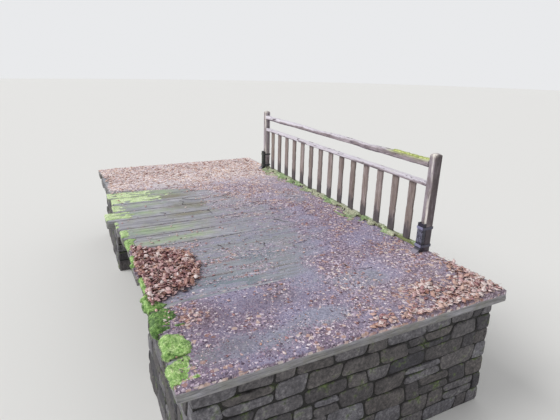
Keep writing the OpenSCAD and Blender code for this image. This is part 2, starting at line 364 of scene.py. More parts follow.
def weatheredWood(name, look):
    # Timber left outdoors: silvered fibres, dark checks, stains, and what lies on it in places
    look = {**usualWood, **look}
    material, node, surface, place = startMaterial(name)
    drawn = []  # patterns drawn out along the grain
    for ratio, millimetres, detail, roughness, distortion in (
            (0.05, look["grainMm"], 6.0, 0.68, 0.3), (0.07, look["bandMm"], 4.0, 0.6, 0.5),
            (0.06, look["crackMm"], 2.0, 0.4, 0.2), (0.3, 30, 7.0, 0.75, 0.0)):
        scale = [ratio if axis == look["grainAxis"] else 1.0 for axis in range(3)]
        stretched = node("Mapping", {"Vector": place, "Scale": scale})
        drawn.append(node("TexNoise", {"Vector": stretched, "Scale": perMetre(millimetres),
                          "Detail": detail, "Roughness": roughness, "Distortion": distortion}))
    fibre, band, crack, grainy = drawn
    crackLine = node("ValToRGB", {"Fac": crack}, stops=[(0.488, 0.0), (0.5, 1.0), (0.512, 0.0)])
    blotch = node("TexNoise", {"Vector": place, "Scale": perMetre(look["blotchMm"]), "Detail": 5.0,
                  "Roughness": 0.62})
    low, middle, high = look["colours"]
    colour = node("ValToRGB", {"Fac": fibre}, stops=[(0.32, low), (0.5, middle), (0.68, high)])
    streak = node("ValToRGB", {"Fac": band}, stops=[(0.36, look["streak"]), (0.62, "#ffffff")])
    colour = node("Mix", {0: look["streakStrength"], 6: colour, 7: streak}, blend_type="MULTIPLY")
    tone = node("Attribute", attribute_name="tone")
    toned = node("ValToRGB", {"Fac": tone}, stops=[(0.0, "#bab6b5"), (1.0, "#ffffff")])
    colour = node("Mix", {0: 1.0, 6: colour, 7: toned}, blend_type="MULTIPLY")
    stained = node("MapRange", (blotch, 0.45, 0.62, 0, look["stainStrength"]))
    colour = node("Mix", {0: stained, 6: colour, 7: look["stain"]})
    for field, tint, strength in look["fields"]:  # drawn on the mesh: damp feet, algae, bleached tops with painted glare, and painted shade
        amount = node("Attribute", attribute_name=field)
        pushed = node("Math", (grainy, 1.5, amount), operation="MULTIPLY_ADD")
        edge = node("MapRange", (pushed, 0.95, 1.6, 0, strength))
        grained = node("Mix", {0: 0.65, 6: tint, 7: colour}, blend_type="OVERLAY")
        colour = node("Mix", {0: edge, 6: colour, 7: grained})
    cracked = node("Math", (crackLine, look["crackStrength"]), operation="MULTIPLY")
    colour = node("Mix", {0: cracked, 6: colour, 7: look["crack"]})
    wet = node("Attribute", attribute_name="wet")
    dry = node("MapRange", (blotch, 0.3, 0.7, look["roughness"] - 0.1, look["roughness"] + 0.12))
    rough = node("Math", (wet, -0.35, dry), operation="MULTIPLY_ADD")
    relief = node("Math", (crackLine, -1.2, fibre), operation="MULTIPLY_ADD")
    if look["endGrain"]:  # growth rings about the pith, and checks that run out from it
        onEnd, v, w = (node("Attribute", attribute_name=key) for key in ("onEnd", "pithX", "pithZ"))
        fromPith = node("CombineXYZ", {0: v, 1: w})
        radius = node("VectorMath", {0: fromPith}, 1, operation="LENGTH")
        bent = node("Math", (grainy, 0.016, radius), operation="MULTIPLY_ADD")
        phase = node("Math", (bent, perMetre(6.5) * 2 * math.pi), operation="MULTIPLY")
        rings = node("Math", (phase,), operation="SINE")
        latewood = node("MapRange", (rings, 0.1, 0.9, 0, 0.55))
        turn = node("Math", (v, w), operation="ARCTAN2")
        fan = node("CombineXYZ", {0: turn, 1: tone})
        spokes = node("TexNoise", {"Vector": fan, "Scale": 9.0, "Detail": 3.0})
        check = node("ValToRGB", {"Fac": spokes}, stops=[(0.485, 0.0), (0.5, 0.9), (0.515, 0.0)])
        dark = node("Math", (latewood, check), operation="MAXIMUM")
        dark = node("Math", (dark, onEnd), operation="MULTIPLY")
        colour = node("Mix", {0: dark, 6: colour, 7: look["endGrain"]})
        relief = node("Math", (dark, -0.8, relief), operation="MULTIPLY_ADD")
    if look["silted"]:
        siltColour, _, _ = siltColours(node, place)
        dirt = node("Attribute", attribute_name="dirt")
        pushed = node("Math", (grainy, 1.6, dirt), operation="MULTIPLY_ADD")
        covered = node("MapRange", (pushed, 1.12, 1.36))
        colour = node("Mix", {0: covered, 6: colour, 7: siltColour})
    finishSurface(material.node_tree, surface, colour, rough, relief, look["bump"], 0.003)
    return material


# Deck timbers: wet, lilac-grey wood with open grain, part silted over
deckWood = weatheredWood("deckWoodWetWeathered", {
    "grainAxis": 1, "grainMm": 8, "bandMm": 42, "crackMm": 55, "blotchMm": 120,
    "colours": ("#94959e", "#b9b8c0", "#dad8e0"), "streak": "#a8a8ae", "streakStrength": 0.65,
    "stain": "#9c9e8e", "stainStrength": 0.45, "crack": "#55555b", "crackStrength": 0.55,
    "fields": (("olive", "#8b8465", 0.8), ("algae", "#b7c79c", 0.8), ("wet", "#8794a2", 0.8),
               ("grimeAndShade", "#77736a", 0.7)),
    "silted": True, "endGrain": "#4b4640", "roughness": 0.6})
# Rails: fibrous wood, bleached pale where rain falls on it, with painted glare on the pale and painted shade
# on lower faces and undersides
railWood = weatheredWood("railWoodBleachedPaintedLight", {
    "grainAxis": 0, "grainMm": 6, "bandMm": 24, "crackMm": 30, "blotchMm": 110,
    "colours": ("#968a90", "#c4b7be", "#e6dbe2"), "streak": "#b1a6ac", "streakStrength": 0.85,
    "stain": "#8a7f7b", "stainStrength": 0.5, "crack": "#443a3d", "crackStrength": 0.85,
    "fields": (("bleach", "#eeebf2", 0.85), ("shade", "#625a64", 0.9), ("algae", "#a5b070", 0.75)),
    "bump": 0.7})
# Posts: lighter towards the deck, with painted shade on the end side and a painted highlight on the far
# post's end arris; almost black at the foot
postWood = weatheredWood("postWoodWeathered", {
    "grainAxis": 2, "grainMm": 6, "bandMm": 22, "crackMm": 32, "blotchMm": 100,
    "colours": ("#8e848a", "#b9afb6", "#dad2da"), "streak": "#aca2a6", "streakStrength": 0.85,
    "stain": "#857a75", "stainStrength": 0.6, "crack": "#433b3c", "crackStrength": 0.85,
    "fields": (("bleach", "#f6f2ea", 0.95), ("shade", "#5a5152", 0.92), ("damp", "#4b434d", 0.94)),
    "roughness": 0.68, "bump": 0.65})
# Pales: the same wood, warmer, with damp feet
paleWood = weatheredWood("paleWoodWeathered", {
    "grainAxis": 2, "grainMm": 6, "bandMm": 20, "crackMm": 38, "blotchMm": 120,
    "colours": ("#8f8180", "#b2a4a1", "#cfc3c0"), "streak": "#b5a9a6", "streakStrength": 0.8,
    "stain": "#93857a", "stainStrength": 0.5, "crack": "#5d5250", "crackStrength": 0.7,
    "fields": (("algae", "#9a9d80", 0.5), ("damp", "#65646a", 0.92))})
# Foot rail: the same wood, always damp, half under moss and silt
footWood = weatheredWood("footWoodDamp", {
    "grainAxis": 0, "grainMm": 6, "bandMm": 26, "crackMm": 40, "blotchMm": 90,
    "colours": ("#67655c", "#8c8b7e", "#acab9c"), "streak": "#9b988a", "streakStrength": 0.8,
    "stain": "#5c5c42", "stainStrength": 0.5, "crack": "#2f2d28", "crackStrength": 0.7,
    "fields": (("algae", "#a5b372", 0.85),), "silted": True, "roughness": 0.66, "bump": 0.55})
# Beams: peeled logs, damp and dark in the shade
logWood = weatheredWood("logWoodPeeled", {
    "grainAxis": 0, "grainMm": 10, "bandMm": 60, "crackMm": 70, "blotchMm": 180,
    "colours": ("#4a4037", "#6d5f51", "#8b7b6a"), "streak": "#8d7c6a", "streakStrength": 0.85,
    "stain": "#3a382c", "stainStrength": 0.5, "crack": "#1d1814", "crackStrength": 0.9,
    "fields": (("algae", "#5f6f3e", 0.6),), "roughness": 0.75, "bump": 0.8})
# Twigs: thin wet bark, almost black
twigBark = weatheredWood("twigBarkWet", {
    "grainAxis": 0, "grainMm": 4, "bandMm": 12, "crackMm": 20, "blotchMm": 40,
    "colours": ("#3b3236", "#564a4f", "#75686f"), "streak": "#8f8287", "streakStrength": 0.6,
    "stain": "#34302d", "stainStrength": 0.4, "crack": "#1f1a19", "crackStrength": 0.5,
    "roughness": 0.62, "bump": 0.4})


def trodSilt():
    # Silt and fine gravel trodden into a crust, strewn with leaf crumbs and damp in places
    material, node, surface, place = startMaterial("siltAndGravelTrodden")
    colour, fine, damp = siltColours(node, place)
    heap = node("Attribute", attribute_name="heap")
    under = node("Math", (heap, 0.8), operation="MULTIPLY")
    colour = node("Mix", {0: under, 6: colour, 7: "#4d3233"})  # wet leaf mould below the heap
    grit = node("TexVoronoi", {"Vector": place, "Scale": perMetre(10)}, "Distance")
    relief = node("Math", (grit, -0.6, fine), operation="MULTIPLY_ADD")
    rough = node("Math", (damp, -0.5, 0.85), operation="MULTIPLY_ADD")
    finishSurface(material.node_tree, surface, colour, rough, relief, 0.8, 0.004)
    return material


def cushionMoss(name, deep, pale):
    # Cushion moss: soft and matt, dark in its depth and bright at the tips; pale where it dries out
    material, node, surface, place = startMaterial(name)
    tuft = node("TexNoise", {"Vector": place, "Scale": perMetre(15), "Detail": 7.0, "Roughness": 0.8})
    broad = node("TexNoise", {"Vector": place, "Scale": perMetre(48), "Detail": 4.0, "Roughness": 0.6})
    mixed = node("Mix", {0: 0.36, 2: tuft, 3: broad}, 0, data_type="FLOAT")
    # on the deck moss the tip field also carries painted shade
    tip = node("Attribute", attribute_name="tip")
    lifted = node("Math", (tip, 0.12, mixed), operation="MULTIPLY_ADD")
    share = node("Attribute", attribute_name="pale")
    ramps = [node("ValToRGB", {"Fac": lifted}, stops=list(zip((0.4, 0.51, 0.61), tones)))
             for tones in (deep, pale)]
    colour = node("Mix", {0: share, 6: ramps[0], 7: ramps[1]})
    surface.inputs["Sheen Weight"].default_value = 0.2
    finishSurface(material.node_tree, surface, colour, 0.9, tuft, 1.0, 0.009)
    return material


def dryLeaf(name, tones):
    # Dead leaves, wet: russet to umber with pale, sky-lit faces and a paler midrib; some orange
    material, node, surface, place = startMaterial(name)
    tone = node("Attribute", attribute_name="tone")
    colour = node("ValToRGB", {"Fac": tone}, stops=list(zip((0.0, 0.28, 0.52, 0.78, 1.0), tones)))
    warm = node("Attribute", attribute_name="warm")
    colour = node("Mix", {0: warm, 6: colour, 7: "#cd9a80"})
    mottle = node("TexNoise", {"Vector": place, "Scale": perMetre(14), "Detail": 5.0, "Roughness": 0.7})
    spots = node("ValToRGB", {"Fac": mottle}, stops=[(0.36, "#b09a97"), (0.58, "#ffffff")])
    colour = node("Mix", {0: 0.8, 6: colour, 7: spots}, blend_type="MULTIPLY")
    rib = node("Attribute", attribute_name="rib")
    ribShare = node("MapRange", (rib, 0.75, 1.0, 0, 0.55))
    colour = node("Mix", {0: ribShare, 6: colour, 7: "#dcc3b4"})
    finishSurface(material.node_tree, surface, colour, 0.42, mottle, 0.45, 0.002)
    return material


def splitStone(name, look):
    # Split river stone: dark, damp and rough, green where rain keeps it wet
    material, node, surface, place = startMaterial(name)
    grain = node("TexNoise", {"Vector": place, "Scale": perMetre(look["grainMm"]), "Detail": 9.0,
                 "Roughness": 0.72})
    cloud = node("TexNoise", {"Vector": place, "Scale": perMetre(120), "Detail": 5.0, "Roughness": 0.65})
    colour = node("ValToRGB", {"Fac": grain}, stops=list(zip((0.32, 0.52, 0.7), look["colours"])))
    tone = node("Attribute", attribute_name="tone")
    toned = node("ValToRGB", {"Fac": tone}, stops=[(0.0, "#87858c"), (0.5, "#cdc6bb"), (1.0, "#ffffff")])
    colour = node("Mix", {0: 1.0, 6: colour, 7: toned}, blend_type="MULTIPLY")
    veins = node("ValToRGB", {"Fac": cloud}, stops=[(0.35, "#9c9a9c"), (0.6, "#ffffff")])
    colour = node("Mix", {0: 0.8, 6: colour, 7: veins}, blend_type="MULTIPLY")
    facing = node("SeparateXYZ", {0: node("NewGeometry", out="Normal")}, "Z")
    damp = node("Math", (facing, 0.12, cloud), operation="MULTIPLY_ADD")
    mossed = node("MapRange", (damp, 0.58, 0.72, 0, look["mossy"]))
    mossTone = node("ValToRGB", {"Fac": grain}, stops=[(0.35, "#3a4626"), (0.65, "#7a8f4d")])
    colour = node("Mix", {0: mossed, 6: colour, 7: mossTone})
    rough = node("MapRange", (cloud, 0.3, 0.7, 0.5, 0.85))
    finishSurface(material.node_tree, surface, colour, rough, grain, 0.85, 0.006)
    return material


bandZs = (0.0745, 0.2525)  # middles of the clamping bands above the deck


def dulledSteel(name, look):
    # Hot-dipped steel gone dull: brighter bands, partly a painted glint, the last of a dark paint, mud and
    # rust at the foot, and painted shade on the channel's side
    material, node, surface, place = startMaterial(name)
    spangle = node("TexVoronoi", {"Vector": place, "Scale": perMetre(14)}, "Color")
    wear = node("TexNoise", {"Vector": place, "Scale": perMetre(38), "Detail": 7.0, "Roughness": 0.7})
    fine = node("TexNoise", {"Vector": place, "Scale": perMetre(7), "Detail": 5.0, "Roughness": 0.7})
    colour = node("ValToRGB", {"Fac": spangle}, stops=list(zip((0.1, 0.9), look["zinc"])))
    along, across, height = node("SeparateXYZ", {0: place}, None).outputs
    upper = node("MapRange", (height, deckZ + 0.23, deckZ + 0.29))
    lower = node("MapRange", (height, deckZ + 0.13, deckZ + 0.04))
    ends = node("Math", (upper, lower), operation="MAXIMUM")
    pushed = node("Math", (ends, 0.3, wear), operation="MULTIPLY_ADD")
    limit = 0.66 - look["darkShare"]
    painted = node("MapRange", (pushed, limit, limit + 0.08))
    colour = node("Mix", {0: painted, 6: colour, 7: look["dark"]})
    # the near bracket's light band colour is partly a painted glint
    first, second = (node("Math", (height, deckZ + z, 0.0128), operation="COMPARE") for z in bandZs)
    banded = node("Math", (node("Math", (first, second), operation="MAXIMUM"), 0.85), operation="MULTIPLY")
    colour = node("Mix", {0: banded, 6: colour, 7: look["band"]})
    rusting = node("Math", (lower, fine), operation="MULTIPLY")
    rusted = node("MapRange", (rusting, 0.44, 0.6, 0, 0.3))
    colour = node("Mix", {0: rusted, 6: colour, 7: "#54392b"})
    side = look["centreX"] + 0.0345  # painted shade on the channel's side that faces away from the light
    paintedSideShade = node("MapRange", (along, side, side + 0.0012, 0, 0.75))
    colour = node("Mix", {0: paintedSideShade, 6: colour, 7: "#2d2c32"})
    toe = node("Math", (fine, -0.02, across), operation="MULTIPLY_ADD")
    muddied = node("MapRange", (toe, railY - 0.1, railY - 0.114, 0, 0.9))
    colour = node("Mix", {0: muddied, 6: colour, 7: "#8f8896"})
    metal = node("MapRange", (painted, 0, 1, 0.5, 0.0))
    material.node_tree.links.new(metal, surface.inputs["Metallic"])
    rough = node("MapRange", (wear, 0.3, 0.7, 0.36, 0.6))
    finishSurface(material.node_tree, surface, colour, rough, fine, 0.3, 0.001)
    return material


silt = trodSilt()
deckMoss, railMoss, footMoss = (cushionMoss("cushionMoss" + name, deep, pale) for name, deep, pale in (
    ("Green", ("#436a29", "#a0cc70", "#ebfdbd"), ("#aac388", "#e4f7bd", "#fbffe8")),
    ("Yellow", ("#8f9c4b", "#d9e488", "#f9ffc6"), ("#a5ad66", "#d3db8c", "#f2f7bd")),
    ("Straw", ("#5c754c", "#98b07c", "#d8eab6"), ("#85866f", "#b5b79a", "#e6e6cd"))))
deadLeaf = dryLeaf("deadLeafWet", ("#4a262a", "#8b565b", "#c39196", "#edcccb", "#fcefed"))
crumbledLeaf = dryLeaf("deadLeafCrumbled", ("#56444e", "#8b747f", "#b69ca5", "#dec8cb", "#fbf1f1"))
fieldStone = splitStone("fieldStoneSplit", {
    "colours": ("#4a494f", "#7d7b82", "#acaaae"), "mossy": 0.75, "grainMm": 26})
mortarBed = splitStone("limeMortarEarthy", {
    "colours": ("#24221f", "#3b3833", "#55504a"), "mossy": 0.5, "grainMm": 9})
# its light band colour stands partly for a painted glint
nearSteel = dulledSteel("galvanisedSteelDulled", {
    "zinc": ("#656878", "#8d90a2"), "dark": "#2e2d3c", "darkShare": 0.14, "band": "#9b9cbb",
    "centreX": nearX})
farSteel = dulledSteel("galvanisedSteelPainted", {
    "zinc": ("#39443f", "#4f5a52"), "dark": "#1c2422", "darkShare": 0.16, "band": "#4c5650",
    "centreX": farX})
print("stage: materials ready")

# Camera, placed as the photograph was taken: from the far post's middle line and the deck
view = {"along": 6.442, "across": -2.928, "above": 1.688, "lensMm": 27.4, "sensorMm": 36.0,
        "yaw": 153.5813, "pitch": 18.9406, "roll": -1.2230}
yaw, pitch, roll = (math.radians(view[k]) for k in ("yaw", "pitch", "roll"))
forward = Vector((math.cos(yaw) * math.cos(pitch), math.sin(yaw) * math.cos(pitch), -math.sin(pitch)))
level = forward.cross(Vector((0, 0, 1))).normalized()
fall = forward.cross(level)
right = math.cos(roll) * level + math.sin(roll) * fall
down = math.cos(roll) * fall - math.sin(roll) * level
camera = bpy.data.objects.new("camera", bpy.data.cameras.new("camera"))
camera.data.lens = view["lensMm"]
camera.data.sensor_width = view["sensorMm"]
camera.data.clip_end = 200
turn = Matrix((right, -down, -forward)).transposed().to_4x4()
eye = (farX + view["along"], railY + view["across"], deckZ + view["above"])
camera.matrix_world = Matrix.Translation(eye) @ turn
bpy.context.scene.collection.objects.link(camera)
bpy.context.scene.camera = camera

# What lies on the deck, in metres along from the far post and across from the railing
cover = {
    # moss on plank ends: from, to, how far in from the end, thickness in mm
    "moss": ((0.56, 0.80, 0.66, 6), (0.80, 1.06, 0.76, 6), (1.10, 1.34, 0.16, 6), (1.38, 1.63, 0.36, 9),
             (1.70, 1.92, 0.05, 6), (1.98, 2.22, 0.13, 8), (2.27, 2.54, 0.10, 14), (2.66, 2.92, 0.06, 12),
             (3.12, 3.40, 0.07, 14), (3.46, 3.70, 0.13, 26), (3.70, 3.99, 0.20, 30), (4.0, 4.28, 0.17, 28),
             (4.28, 4.5, 0.15, 22)),
    # painted shade on the moss: along, lift of its tone
    "mossPaintedShade": ((3.4, 0.0), (3.5, -0.3), (3.69, -0.3), (3.72, -0.55), (3.97, -0.55), (4.01, 0.05)),
    # thin algae further in: along, across, half length, half width
    "algae": ((0.72, -2.1, 0.22, 0.6), (1.2, -2.3, 0.1, 0.35), (1.5, -2.3, 0.1, 0.4),
              (2.1, -2.2, 0.13, 0.45), (2.42, -2.2, 0.1, 0.3), (2.4, -1.9, 0.07, 0.25),
              (3.85, -2.35, 0.14, 0.3), (3.38, -1.87, 0.05, 0.08)),
    # olive-brown wet patches, the same way
    "olive": ((1.44, -1.5, 0.12, 0.55), (1.73, -1.75, 0.08, 0.3), (0.95, -1.9, 0.1, 0.4)),
    # edge of the silt: along, across; silt lies on the railing's side of it
    "siltEdge": ((-1.2, -2.66), (0.42, -2.66), (0.52, -2.35), (0.62, -1.95), (0.8, -1.62),
                 (1.1, -1.4), (1.35, -1.2), (1.8, -1.05), (2.4, -1.0), (2.9, -1.1), (3.2, -1.3),
                 (3.6, -1.6), (3.65, -1.75), (3.655, -2.48), (3.75, -2.56), (4.9, -2.58)),
    # leaves caught behind the moss, and dark mould, the same way as the algae
    "caught": ((3.86, -2.34, 0.12, 0.13),),
    "blown": ((3.0, -2.3, 0.75, 0.5), (2.35, -1.9, 0.06, 0.7)),
    "mould": ((3.95, -2.2, 0.2, 0.3), (3.9, -1.8, 0.14, 0.35), (4.3, -2.2, 0.15, 0.25),
              (4.5, -0.2, 0.4, 0.7)),
    # heap of leaves by the open edge: along, across of its inner edge
    "heapEdge": ((2.38, -2.62), (2.5, -2.42), (2.66, -2.2), (2.84, -2.0), (2.95, -1.96), (3.15, -1.99),
                 (3.36, -2.1), (3.5, -2.24), (3.63, -2.42), (3.72, -2.56)),
    # drift of whole leaves in the near corner: across, along where it starts
    "driftEdge": ((-1.5, 4.66), (-1.21, 4.54), (-0.98, 4.47), (-0.8, 4.39), (-0.5, 4.27),
                  (-0.11, 4.1), (0.0, 3.86)),
    # puddles and patches of bare wet silt, the same way as the algae
    "puddle": ((3.52, -2.05, 0.16, 0.42), (3.1, -1.5, 0.12, 0.2)),
    "bare": ((4.33, -2.06, 0.1, 0.3), (4.24, -1.5, 0.09, 0.22), (0.4, -1.75, 0.16, 0.22),
             (3.0, -1.5, 0.6, 0.5), (1.6, -0.35, 0.25, 0.12), (3.9, -0.9, 0.14, 0.2)),
    # thickness of the silt and the heap, and how far the silt's level sinks where there is none
    "siltMm": 8, "heapMm": 15, "noneMm": -22}


def spots(x, y, places):  # soft ovals at (along, across, half length, half width)
    along, across, share = x - farX, y - railY, np.zeros(len(x))
    for at, side, halfLong, halfWide in places:
        oval = np.exp(-((along - at) / halfLong) ** 2 - ((across - side) / halfWide) ** 2)
        share = np.maximum(share, oval)
    return share


def coverFields(x, y):
    # Silt, leaf heap and loose leaves at points of the deck; each from 0 to 1
    points = onPlane(x, y)
    along, across = x - farX, y - railY
    wander = 0.12 * smoothNoise(points, 0.3, 11, 4)
    siltLine = np.interp(along, *np.array(cover["siltEdge"]).T)
    softness = np.where(along > 3.64, 0.08, np.where(along < 0.6, 0.3, 0.55))
    siltShare = ease((across - siltLine + 1.4 * wander) / softness)
    drift = ease(0.5 + 1.8 * smoothNoise(points, 0.33, 12, 4))  # crumbs gather in drifts
    heapLine = np.interp(along, *np.array(cover["heapEdge"]).T)
    heap = ease((heapLine - across + 0.6 * wander) / 0.16) * ease((across + 2.61 + 0.4 * wander) / 0.05)
    heap *= ease((along - 2.33 + 0.6 * wander) / 0.1) * ease((3.78 + wander - along) / 0.2)
    lilac = np.exp(-((along - 0.35) / 0.2) ** 2 - ((across + 1.7) / 0.25) ** 2)
    litter = np.maximum(heap, 0.9 * ease((0.95 + 2.5 * wander - along) / 0.8) * (1 - 0.75 * lilac))
    litter = np.maximum(litter, 0.45 * ease((across + 0.5 + wander) / 0.45))  # drifted to the foot rail
    litter = np.maximum(litter, 0.8 * ease((along - 3.75 + 2 * wander) / 0.8) * ease((across + 1.2) / 0.9))
    litter = np.maximum(litter, 0.8 * ease((along - 3.64) / 0.1) * ease((-1.9 - across + wander) / 0.4))
    bands = ease(0.1 + 2.2 * smoothNoise(points, (0.09, 0.7, 1), 13, 3))  # washed out along the planks
    litter = np.maximum(litter, 0.75 * bands * filmShare(x, y))
    litter = np.maximum(litter * (0.6 + 0.4 * drift), (0.15 + 0.5 * drift) * ease((siltShare - 0.1) / 0.4))
    return siltShare, heap, litter


def lightShare(x, y):  # the far end lies open to the sky: it dries pale and is painted lighter, as better lit
    along = x - farX + 0.35 * smoothNoise(onPlane(x, y), 0.45, 14, 4)
    corner = 0.16 * ease((along - 3.3) / 1.0) * ease((y - railY + 1.8) / 1.4)  # the near corner is painted lighter too
    return 0.75 * ease((0.95 - along) / 0.75) + 0.25 * ease((2.3 - along) / 1.4) + corner


def filmShare(x, y):  # thin wet mud that the rain leaves in the joints and hollows of the planks
    along, across = x - farX, y - railY
    wander = 0.12 * smoothNoise(onPlane(x, y), 0.3, 11, 4)
    nearer = ease((along - 2.35) / 0.3)
    farther = ease((along - 0.5) / 0.2) * ease((across + 1.9 + 2.2 * wander) / 0.6)
    return np.maximum(nearer, farther) * ease((3.66 - along) / 0.06)


def plankAt(x):
    return np.clip(np.floor((x - plankBoxes[0, 0]) / plankPitch).astype(int), 0, len(plankBoxes) - 1)


def seamPhase(x):  # from 0 to 1, from one joint between planks to the next
    return ((x - plankBoxes[0, 0]) / plankPitch) % 1.0


def fromSeam(x):  # distance to the nearest joint, in metres
    phase = seamPhase(x)
    return np.minimum(phase, 1 - phase) * plankPitch


def siltTop(x, y):
    # Height of the silt and litter over the planks' nominal top, in metres; well below it where none lies
    siltShare, heap, _ = coverFields(x, y)
    points = onPlane(x, y)
    low = cover["noneMm"] / 1000
    siltHigh = cover["siltMm"] / 1000 + 0.005 * smoothNoise(points, 0.16, 21, 4)
    siltHigh += 0.006 * ease((y - railY + 0.3) / 0.25)
    heapHigh = cover["heapMm"] / 1000 * (0.75 + 0.5 * smoothNoise(points, 0.12, 22, 3))
    filmHigh = -0.0035 + 0.004 * smoothNoise(points, (0.2, 0.35, 1), 23, 4)
    filmHigh += 0.002 * smoothNoise(points, (0.05, 0.6, 1), 24, 2)
    layers = ((siltHigh, siltShare), (heapHigh, heap), (filmHigh, filmShare(x, y)))
    height = np.max([low + (high - low) * share for high, share in layers], axis=0)
    return height - 0.004 * np.exp(-(fromSeam(x) / 0.014) ** 2) * (1 - heap)


# Planks
plankLook = {"ringMm": 28, "acrossMm": 19, "arrisMm": 11, "checks": 4, "checkMm": 7, "hollowMm": 4,
             "endWearMm": 10, "upperMm": 30, "algaeMm": 60}


def plankMesh(number, box):
    low, high = box[:3], box[3:]
    width, length, thick = high - low
    seed = 100 + number * 7
    half = width / 2
    cracks = np.sort(rng.uniform(-half + 0.03, half - 0.03, plankLook["checks"]))
    arris, across = plankLook["arrisMm"] / 1000, plankLook["acrossMm"] / 1000
    outline = boxOutline(width, thick, (0.004, arris), (0.05, 0.03, across), slotsAt(cracks, 0.0045))
    local, normals, faces = sweep(np.linspace(0, length, int(length * 1000 / plankLook["ringMm"])), outline)
    u, v, w = local.T
    topFace = (normals[:, 2] > 0.9) & (np.abs(v) < half - 0.008)
    fromEnd = np.minimum(u, length - u)
    depth = 0.0012 + 0.0012 * smoothNoise(local, (0.9, 0.03, 0.05), seed, 2)
    depth += 0.001 + 0.001 * smoothNoise(local, 0.08, seed + 1, 2)
    for k, at in enumerate(cracks):  # open checks along the grain
        run = ease(3 * smoothNoise(onPlane(u, np.full_like(u, at * 9)), 0.42, seed + 10 + k, 2) + 0.1)
        depth += (topFace & (np.abs(v - at) < 0.002)) * run * plankLook["checkMm"] / 1000
    edge = ease(1 - (half - np.abs(v)) / 0.02)
    chip = ease(smoothNoise(local, (0.1, 0.4, 0.4), seed + 3, 3) * 2.2 - 0.5)
    depth += np.where(w > thick * 0.6, edge * (0.001 + 0.007 * chip), 0)
    hollow = 0.35 + 0.3 * smoothNoise(local, (0.7, 0.5, 0.5), seed + 4)  # walked hollow
    depth += np.where(topFace, plankLook["hollowMm"] / 1000 * ease(fromEnd / 0.8) * hollow, 0)
    worn = plankLook["endWearMm"] / 1000 * np.exp(-fromEnd / 0.014) * (0.6 + 0.6 * chip)
    depth += np.where(w > thick * 0.5, worn, 0)
    local = local - normals * depth[:, None]
    capDepth = 0.006 + 0.006 * smoothNoise(local, (1, 0.05, 0.016), seed + 5, 3)
    local[:, 0] += np.where(u <= 0, capDepth, 0) - np.where(u >= length, capDepth, 0)
    local[:, 1] += 0.004 * smoothNoise(onPlane(u, u * 0), 0.5, seed + 6) * (1 - (v / half) ** 2)
    middle = ((low[0] + high[0]) / 2, low[1], low[2])
    pith = (rng.uniform(-0.5, 0.5) * half, rng.uniform(-0.07, -0.01))
    ends = {"onEnd": np.abs(normals[:, 0]) > 0.5,
            "pithX": local[:, 1] - pith[0], "pithZ": local[:, 2] - pith[1]}
    return placed(local, middle, ((0, 1, 0), (-1, 0, 0), (0, 0, 1))), faces, ends


def mossShare(x, y, endY):
    # Moss on the open side's plank ends: share, and thickness in metres
    along, inward = x - farX, y - endY
    ragged = smoothNoise(onPlane(x, y), 0.09, 31, 3)
    holes = smoothNoise(onPlane(x, y), (0.028, 0.11, 1), 32, 4)
    share, thick = np.zeros(len(x)), np.zeros(len(x))
    for start, stop, reach, millimetres in cover["moss"]:
        here = ease((along - start + 0.03 * ragged) / 0.03) * ease((stop - along + 0.03 * ragged) / 0.03)
        here *= ease((reach * (1 + 0.45 * ragged) - inward) / (0.25 * reach + 0.02))
        if millimetres < 10:  # a thin film is torn
            here *= ease(1.1 + 1.5 * holes - 1.0 * np.clip(inward / reach, 0, 1) ** 2)
        thick = np.where(here > share, millimetres / 1000, thick)
        share = np.maximum(share, here)
    return share, thick


for number, (name, box) in enumerate(zip(plankNames, plankBoxes)):
    points, faces, ends = plankMesh(number, box)
    x, y, z = points.T
    siltShare, heap, litter = coverFields(x, y)
    mossHere, _ = mossShare(x, y, box[1])
    film = spots(x, y, cover["algae"]) * (0.75 + 0.5 * smoothNoise(points, 0.08, 41, 3))
    upper = z > deckZ - plankLook["upperMm"] / 1000
    seam = np.exp(-(fromSeam(x) / 0.022) ** 2)  # crumbs caught along the joints
    dirt = np.maximum(np.clip(siltShare * 2.0 - 0.05, 0, 1), 0.46 * filmShare(x, y))
    dirt = np.max([dirt, 0.9 * heap, 0.5 * seam], axis=0) * upper
    tone = rng.uniform(0.45, 1.0)
    # darker low on the plank sides and at the plank ends: partly grime and damp, partly painted shade
    low = ease((deckZ - 0.012 - z) / 0.02) * (0.5 + 0.6 * smoothNoise(points, (0.3, 0.3, 0.03), 52, 2))
    toEnd = np.minimum(y - box[1], box[4] - y)
    soiledAndShaded = (1.3 - 0.8 * tone) * (0.9 + 0.6 * smoothNoise(points, 0.03, 53, 2))
    low = np.maximum(low, ease((0.016 - toEnd) / 0.008) * soiledAndShaded)
    damp = 0.35 * ease(0.5 + 1.5 * smoothNoise(points * [1, 1, 0], 0.35, 51, 2))
    makePiece(name + "_worn", points, faces, deckWood, (name,), {
        "algae": np.maximum(film, 0.9 * mossHere) * (z > deckZ - plankLook["algaeMm"] / 1000),
        "tone": tone, "dirt": dirt, "litter": np.clip(litter + 0.25 + 0.5 * seam, 0, 1), "grimeAndShade": low,
        "wet": np.maximum(damp, spots(x, y, cover["puddle"])) * upper, "light": lightShare(x, y),
        "olive": spots(x, y, cover["olive"]), "bare": spots(x, y, cover["bare"]), **ends})
print("stage: planks laid")

